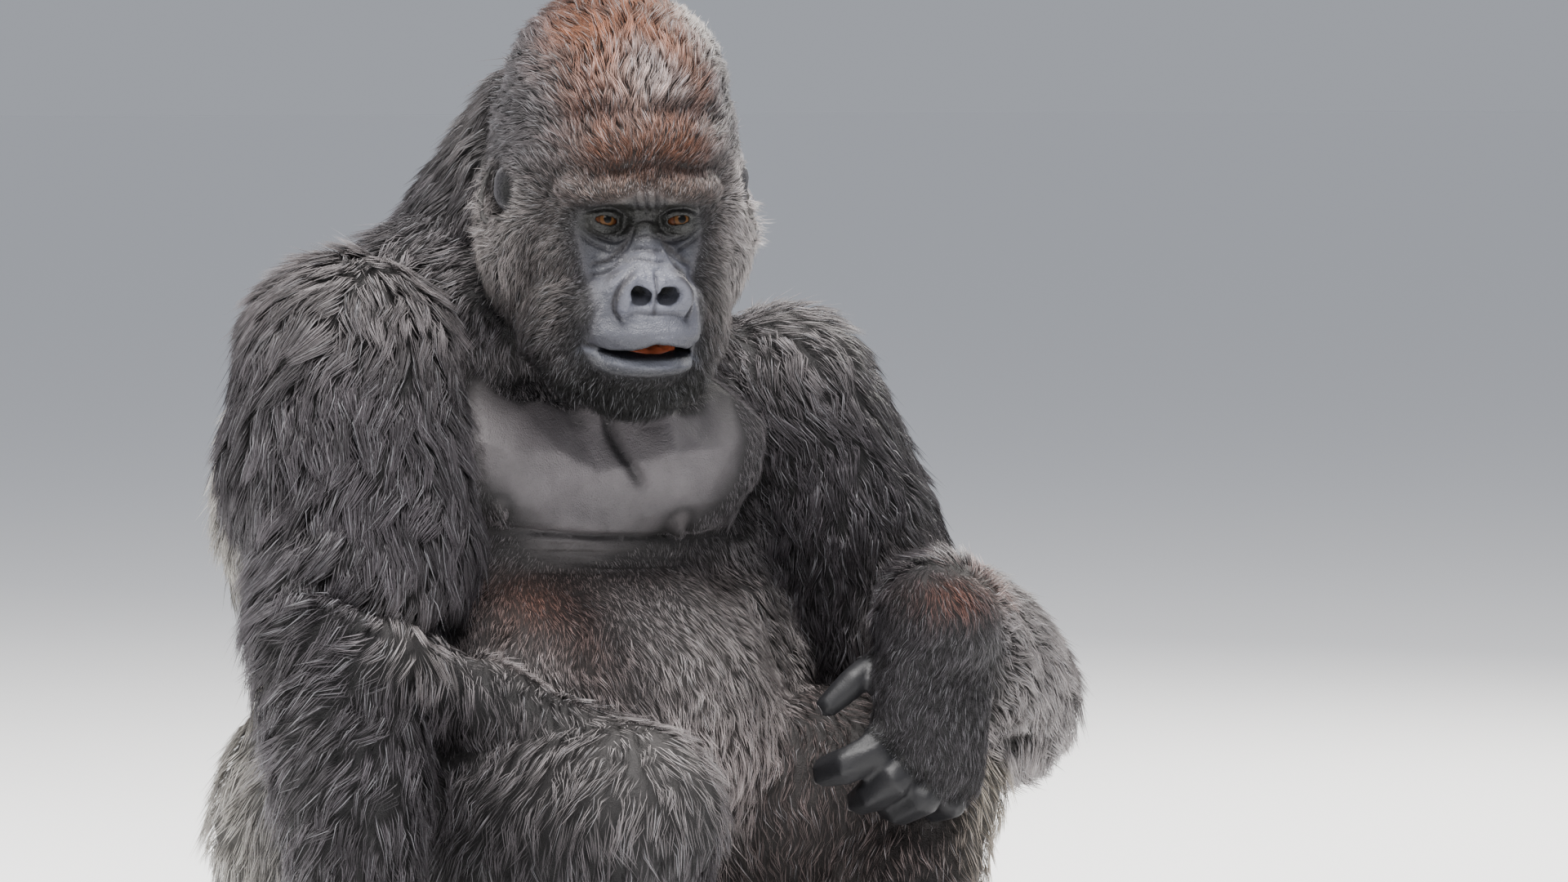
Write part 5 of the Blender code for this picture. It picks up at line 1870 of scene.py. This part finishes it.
@dataclass
class Coat:
    """Thin bent tufts over the skin, combed and drawn together in locks.

    Attributes:
        skin: The finished skin.
        finish: Material of the hair.
        lock_share: Width of a lock as a share of the hair's length.
        locks: Least and greatest width of a lock.
        pull: How far the tips of a lock of long hair draw together, as a share.
        wave: How far a lock bends sideways, as a share of its length.
        slim: Radius of a tuft at its root, as a share of its length.
        radii: Least and greatest of those radii.
        grey: Share of the hairs that are light grey.
        loose: Share of the hairs that stand away.
    """

    skin: Skin
    finish: CoatFinish = CoatFinish()
    lock_share: float = 0.34
    locks: tuple[float, float] = (0.0045, 0.02)
    pull: float = 0.6
    wave: float = 0.1
    slim: float = 0.015
    radii: tuple[float, float] = (0.0002, 0.00056)
    grey: float = 0.1
    loose: float = 0.06

    def __post_init__(self) -> None:
        """Reads the skin once for all the pieces."""
        mesh = self.skin.obj.data
        self.points = read_points(mesh)
        self.faces = read_triangles(mesh)
        corners = self.points[self.faces]
        across = np.cross(corners[:, 1] - corners[:, 0], corners[:, 2] - corners[:, 0])
        self.areas = np.linalg.norm(across, axis=1) / 2
        self.normals = spread(read_normals(mesh), read_edges(mesh), 2)
        self.centres = corners.mean(axis=1)
        self.owners = self.skin.finder.nearest(self.centres)
        self.local = self.skin.head.into(self.centres)
        self.material = self.finish.material()

    def build(self, region: Region, seed: int) -> bpy.types.Object:
        """Makes one piece of the coat.

        Args:
            region: Which piece.
            seed: Chooses where its tufts stand.

        Returns:
            The piece.
        """
        rng = np.random.default_rng(seed)
        flesh = self.skin.finder.flesh
        covered = [name for name in flesh if name.startswith(region.nodes)]
        mine = np.isin(self.owners, [flesh.index(name) for name in covered])
        if region.within is not None:
            mine &= region.within(self.centres, self.local)
        faces = np.flatnonzero(mine)
        length = self.skin.length[self.faces[faces]].mean(axis=1)
        wanted = self.areas[faces] * ramp(length, region.shortest * 0.6, region.shortest * 1.6)
        wanted *= (0.04 / np.maximum(length, 0.006)) ** 0.8
        wanted /= wanted.sum()
        chosen = rng.choice(len(faces), region.tufts, p=wanted)
        crowd = region.tufts * wanted[chosen] / self.areas[faces[chosen]]
        corners = self.faces[faces[chosen]]
        shares = rng.dirichlet((1.0, 1.0, 1.0), region.tufts)
        roots = self._mix(self.points, corners, shares)
        keep = self._mix(self.skin.length, corners, shares) > region.shortest
        roots, corners, shares = roots[keep], corners[keep], shares[keep]
        shape = self._tufts(roots, corners, shares, crowd[keep], rng)
        piece = self._mesh(region.name, shape, self._tints(corners, shares, rng))
        self._unwrap(piece, faces, roots)
        piece.data.materials.append(self.material)
        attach(piece, "root")
        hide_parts(*covered)
        return piece

    @staticmethod
    def _mix(values: Array, corners: Array, shares: Array) -> Array:
        """Values at the vertices, read inside their triangles."""
        rows = values[corners]
        weights = shares if rows.ndim == 2 else shares[:, :, None]
        return (rows * weights).sum(axis=1)

    def _tufts(
        self, roots: Array, corners: Array, shares: Array, crowd: Array, rng: np.random.Generator
    ) -> Array:
        """The five vertices of each tuft: the root, a ring of three near its middle, and the tip.

        Args:
            roots: Where the tufts stand.
            corners: The triangles that they stand on.
            shares: Their places in those triangles.
            crowd: Tufts in a square metre round each.
            rng: Chooses everything that is left to chance.

        Returns:
            An array of tufts x 5 x 3.
        """
        count = len(roots)
        normal = unit(self._mix(self.normals, corners, shares))
        towards = self._mix(self.skin.towards, corners, shares)
        flat = unit(towards - (towards * normal).sum(axis=1, keepdims=True) * normal)
        side = np.cross(flat, normal)
        wander = 0.3 * waves(roots, 0.05, 21) + 0.25 * waves(roots, 0.13, 22) + rng.normal(0, 0.14, count)
        flat = unit(flat + side * wander[:, None])
        full = self._mix(self.skin.length, corners, shares)
        length = full * rng.uniform(0.65, 1.15, count)
        lift = np.radians(self._mix(self.skin.lift, corners, shares) + rng.normal(0, 5, count))
        astray = rng.random(count) < self.loose
        lift = np.where(astray, lift + np.radians(rng.uniform(6, 20, count)), lift)
        low, high = lift * 0.62 + 0.16, lift * 0.62 - 0.12
        start = flat * np.cos(low)[:, None] + normal * np.sin(low)[:, None]
        end = flat * np.cos(high)[:, None] + normal * np.sin(high)[:, None]
        bend = 0.42
        middle = roots + start * (length * bend)[:, None]
        tip = middle + end * (length * (1 - bend))[:, None]
        centre = self._lock_centres(roots, full, crowd, rng)
        self.lock_of = centre * 7919
        pull = np.where(astray, 0.0, self.pull) * ramp(full, 0.004, 0.032)
        tip += (tip[centre] - tip) * pull[:, None]
        middle += (middle[centre] - middle) * (pull * 0.35)[:, None]
        sway = np.sin(centre * 2.399)[:, None] * side * (length * self.wave)[:, None]
        middle += sway
        tip -= sway * 0.6
        radius = np.clip(length * self.slim, *self.radii) * rng.uniform(0.7, 1.3, count)
        shape = np.empty((count, 5, 3))
        shape[:, 0] = roots - normal * 0.0012
        shape[:, 4] = tip
        axis = unit(middle - shape[:, 0])
        across = unit(np.cross(axis, normal))
        up = np.cross(axis, across)
        for corner in range(3):
            angle = 2 * math.pi * corner / 3 + math.pi / 2
            out = across * math.cos(angle) + up * (0.6 * math.sin(angle))
            shape[:, 1 + corner] = middle + out * radius[:, None]
        above_floor = 0.0006 + 0.0004 * np.arange(shape.shape[1])
        shape[:, :, 2] = np.maximum(shape[:, :, 2], above_floor)
        return shape

    def _lock_centres(self, roots: Array, length: Array, crowd: Array, rng: np.random.Generator) -> Array:
        """For each tuft, the number of the one in the middle of its lock.

        Args:
            roots: Where the tufts stand.
            length: Length of the hair there.
            crowd: Tufts in a square metre round each.
            rng: Chooses the middles.

        Returns:
            One number for each tuft.
        """
        width = np.clip(length * self.lock_share, *self.locks)
        middles = np.flatnonzero(rng.random(len(roots)) < 1.0 / (crowd * width**2))
        tree = KDTree(len(middles))
        for number in middles.tolist():
            tree.insert(roots[number], number)
        tree.balance()
        return np.array([tree.find(point)[1] for point in roots.tolist()])

    def _tints(self, corners: Array, shares: Array, rng: np.random.Generator) -> Array:
        """Colours of the five vertices of each tuft: dark at the root as painted shade, light at the tip as a
        painted highlight.
        """
        base = self._mix(self.skin.colours, corners, shares)
        count = len(base)
        lock = self.lock_of % 9973 / 9973.0 * 2.0 - 1.0
        base = base * np.exp(rng.normal(0, 0.24, count) + 0.42 * lock)[:, None]
        greyed = rng.random(count) < self.grey
        lay(base, (0.3, 0.3, 0.32), np.where(greyed, 0.45, 0.0))
        # Painted shade darkens each tuft towards its root, deep in the coat, and a painted highlight lightens
        # its tip.
        levels = np.array([0.12, 0.8, 0.8, 0.8, 1.9])
        return base[:, None, :] * levels[None, :, None]

    @staticmethod
    def _mesh(name: str, shape: Array, tints: Array) -> bpy.types.Object:
        """Builds the joined mesh of all the tufts.

        Args:
            name: Name of the piece.
            shape: Vertices as tufts x 5 x 3.
            tints: Their colours.

        Returns:
            The object.
        """
        count = len(shape)
        corners = 5
        triangles = [(1, 2, 4), (2, 3, 4), (3, 1, 4), (2, 1, 0), (3, 2, 0), (1, 3, 0)]
        pattern = np.array(triangles, np.int32).ravel()
        loops = (pattern[None, :] + corners * np.arange(count)[:, None]).ravel()
        face_starts = 3 * np.arange(count * len(triangles))
        mesh = bpy.data.meshes.new(name)
        mesh.vertices.add(count * corners)
        mesh.loops.add(len(loops))
        mesh.polygons.add(len(face_starts))
        mesh.vertices.foreach_set("co", shape.astype(np.float32).ravel())
        mesh.loops.foreach_set("vertex_index", loops.astype(np.int32))
        mesh.polygons.foreach_set("loop_start", face_starts.astype(np.int32))
        mesh.update(calc_edges=True)
        mesh.validate()
        write_colour(mesh, "coat_colour", tints.reshape(-1, 3))
        mesh.polygons.foreach_set("use_smooth", np.ones(len(mesh.polygons), bool))
        return object_of(name, mesh)

    def _unwrap(self, piece: bpy.types.Object, faces: Array, roots: Array) -> None:
        """Gives each tuft a small patch at its root's place on an unwrap of the skin below.

        Args:
            piece: The piece of coat.
            faces: Numbers of the skin's triangles that it grows on.
            roots: Where its tufts stand.
        """
        used, index = np.unique(self.faces[faces], return_inverse=True)
        mesh = bpy.data.meshes.new("unwrap")
        mesh.from_pydata(self.points[used].tolist(), [], index.reshape(-1, 3).tolist())
        proxy = object_of("unwrap", mesh)
        proxy_faces = 2500
        coarse = proxy.modifiers.new("coarse", "DECIMATE")
        coarse.ratio = min(1.0, proxy_faces / len(faces))
        coarse.use_collapse_triangulate = True
        apply_modifiers(proxy)
        bpy.ops.object.mode_set(mode="EDIT")
        bpy.ops.mesh.select_all(action="SELECT")
        bpy.ops.uv.smart_project(angle_limit=math.radians(66), island_margin=0.02)
        bpy.ops.object.mode_set(mode="OBJECT")
        mesh = proxy.data
        places = read_points(mesh)
        triangles = read_triangles(mesh)
        owners = np.empty(len(triangles) * 3, np.int32)
        mesh.loop_triangles.foreach_get("loops", owners)
        flat = np.empty(len(mesh.loops) * 2, np.float32)
        mesh.uv_layers.active.data.foreach_get("uv", flat)
        corner_uv = flat.reshape(-1, 2)[owners.reshape(-1, 3)]
        tree = BVHTree.FromPolygons([tuple(place) for place in places], triangles.tolist())
        found = [tree.find_nearest(root) for root in roots.tolist()]
        hit = np.array([tuple(item[0]) for item in found])
        which = np.array([item[2] for item in found])
        shares = barycentric(hit, places[triangles[which]])
        uv = (corner_uv[which] * shares[:, :, None]).sum(axis=1)
        half = 0.0015
        uv = np.clip(uv, half * 2, 1 - half * 2)
        corners = np.array(
            [(-1, 0), (0, 0), (0, 1)]
            + [(0, 0), (1, 0), (0, 1)]
            + [(1, 0), (1, 1), (0, 1)]
            + [(0, 0), (-1, 0), (0, -1)]
            + [(1, 0), (0, 0), (0, -1)]
            + [(1, -1), (1, 0), (0, -1)]
        )
        full = uv[:, None, :] + corners[None, :, :] * half
        layer = piece.data.uv_layers.new(name="OFBake")
        layer.data.foreach_set("uv", full.astype(np.float32).ravel())
        bpy.data.objects.remove(proxy)


def barycentric(points: Array, corners: Array) -> Array:
    """Shares of a triangle's three corners in points that lie in it.

    Args:
        points: Rows of places.
        corners: The triangle of each, as points x 3 x 3.

    Returns:
        Three shares for each point.
    """
    first = corners[:, 1] - corners[:, 0]
    second = corners[:, 2] - corners[:, 0]
    inside = points - corners[:, 0]
    aa, ab, bb = (first * first).sum(1), (first * second).sum(1), (second * second).sum(1)
    pa, pb = (inside * first).sum(1), (inside * second).sum(1)
    scale = np.maximum(aa * bb - ab * ab, 1e-18)
    one = (bb * pa - ab * pb) / scale
    two = (aa * pb - ab * pa) / scale
    return np.clip(np.stack([1 - one - two, one, two], axis=1), 0.0, 1.0)


# ---- The studio ----
@dataclass
class Studio:
    """Camera, floor and soft light.

    Attributes:
        azimuth: Degrees that the camera stands round from -Y.
        elevation: Degrees that it looks down.
        distance: From the camera to its target.
        target: What the middle of the picture shows.
        lens: Focal length in millimetres, over a sensor 36 wide.
        floor: Material of the floor.
        sky: Colour of the light from all round.
        sky_strength: How strong that is.
    """

    azimuth: float = -28.0
    elevation: float = 3.0
    distance: float = 7.0
    target: Point = (0.1568, 0.033, 0.568)
    lens: float = 36.0 * 7.0 / 1.536
    floor: PlainFinish = PlainFinish("floor", (0.98, 0.98, 0.98), 0.7, 0.0)
    sky: Colour = (0.86, 0.9, 1.0)
    sky_strength: float = 0.44

    def build(self) -> None:
        """Sets the camera, floor, lights and sky up."""
        self._camera()
        bpy.ops.mesh.primitive_plane_add(size=240.0, location=(0.0, 0.0, 0.0))
        floor = bpy.context.object
        floor.name = "floor"
        floor.data.materials.append(self.floor.material())
        world = bpy.data.worlds.new("studio")
        world.use_nodes = True
        sky = world.node_tree.nodes["Background"]
        sky.inputs["Color"].default_value = (*self.sky, 1.0)
        sky.inputs["Strength"].default_value = self.sky_strength
        bpy.context.scene.world = world
        self._light("overhead", (-0.3, -1.0, 4.4), 1.6, 470.0, (1.0, 0.98, 0.96))
        self._light("front", (-1.4, -3.4, 3.0), 1.8, 100.0, (1.0, 0.98, 0.96))
        self._light("rim_right", (-2.6, 1.8, 2.4), 1.2, 150.0, (1.0, 0.98, 0.94))
        self._light("rim_left", (2.6, 1.6, 2.4), 1.2, 130.0, (1.0, 0.97, 0.9))

    def _camera(self) -> None:
        """Puts the camera up and makes it the scene's."""
        data = bpy.data.cameras.new("camera")
        data.lens = self.lens
        data.sensor_width = 36.0
        camera = bpy.data.objects.new("camera", data)
        azimuth, elevation = math.radians(self.azimuth), math.radians(self.elevation)
        level = math.cos(elevation)
        away = Vector((math.sin(azimuth) * level, -math.cos(azimuth) * level, 0.0))
        away.z = math.sin(elevation)
        camera.location = Vector(self.target) + away * self.distance
        camera.rotation_euler = away.to_track_quat("Z", "Y").to_euler()
        bpy.context.scene.collection.objects.link(camera)
        bpy.context.scene.camera = camera

    @staticmethod
    def _light(name: str, place: Point, size: float, power: float, colour: Colour) -> None:
        """A square soft light that faces the gorilla's middle."""
        data = bpy.data.lights.new(name, "AREA")
        data.size = size
        data.energy = power
        data.color = colour
        light = bpy.data.objects.new(name, data)
        light.location = place
        light.rotation_euler = (Vector(place) - Vector((0.0, 0.0, 0.5))).to_track_quat("Z", "Y").to_euler()
        bpy.context.scene.collection.objects.link(light)


def report(obj: bpy.types.Object) -> None:
    """Logs a piece's name and triangles."""
    LOG.info("%s: %d triangles", obj.name, count_of(obj))


def main() -> None:
    """Builds the pieces in order."""
    logging.basicConfig(level=logging.INFO, format="%(message)s")
    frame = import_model()
    head = HeadFrame()
    skin = Skin(head, Grooming(head))
    report(skin.build(frame["nodes"]))
    for eye in Eyes(head).build():
        report(eye)
    report(Tongue(head).build())
    report(Nails(skin).build(frame["nodes"]))
    coat = Coat(skin)
    for place, region in enumerate(REGIONS):
        report(coat.build(region, SEED + place))
    Studio().build()


if __name__ == "__main__":
    main()
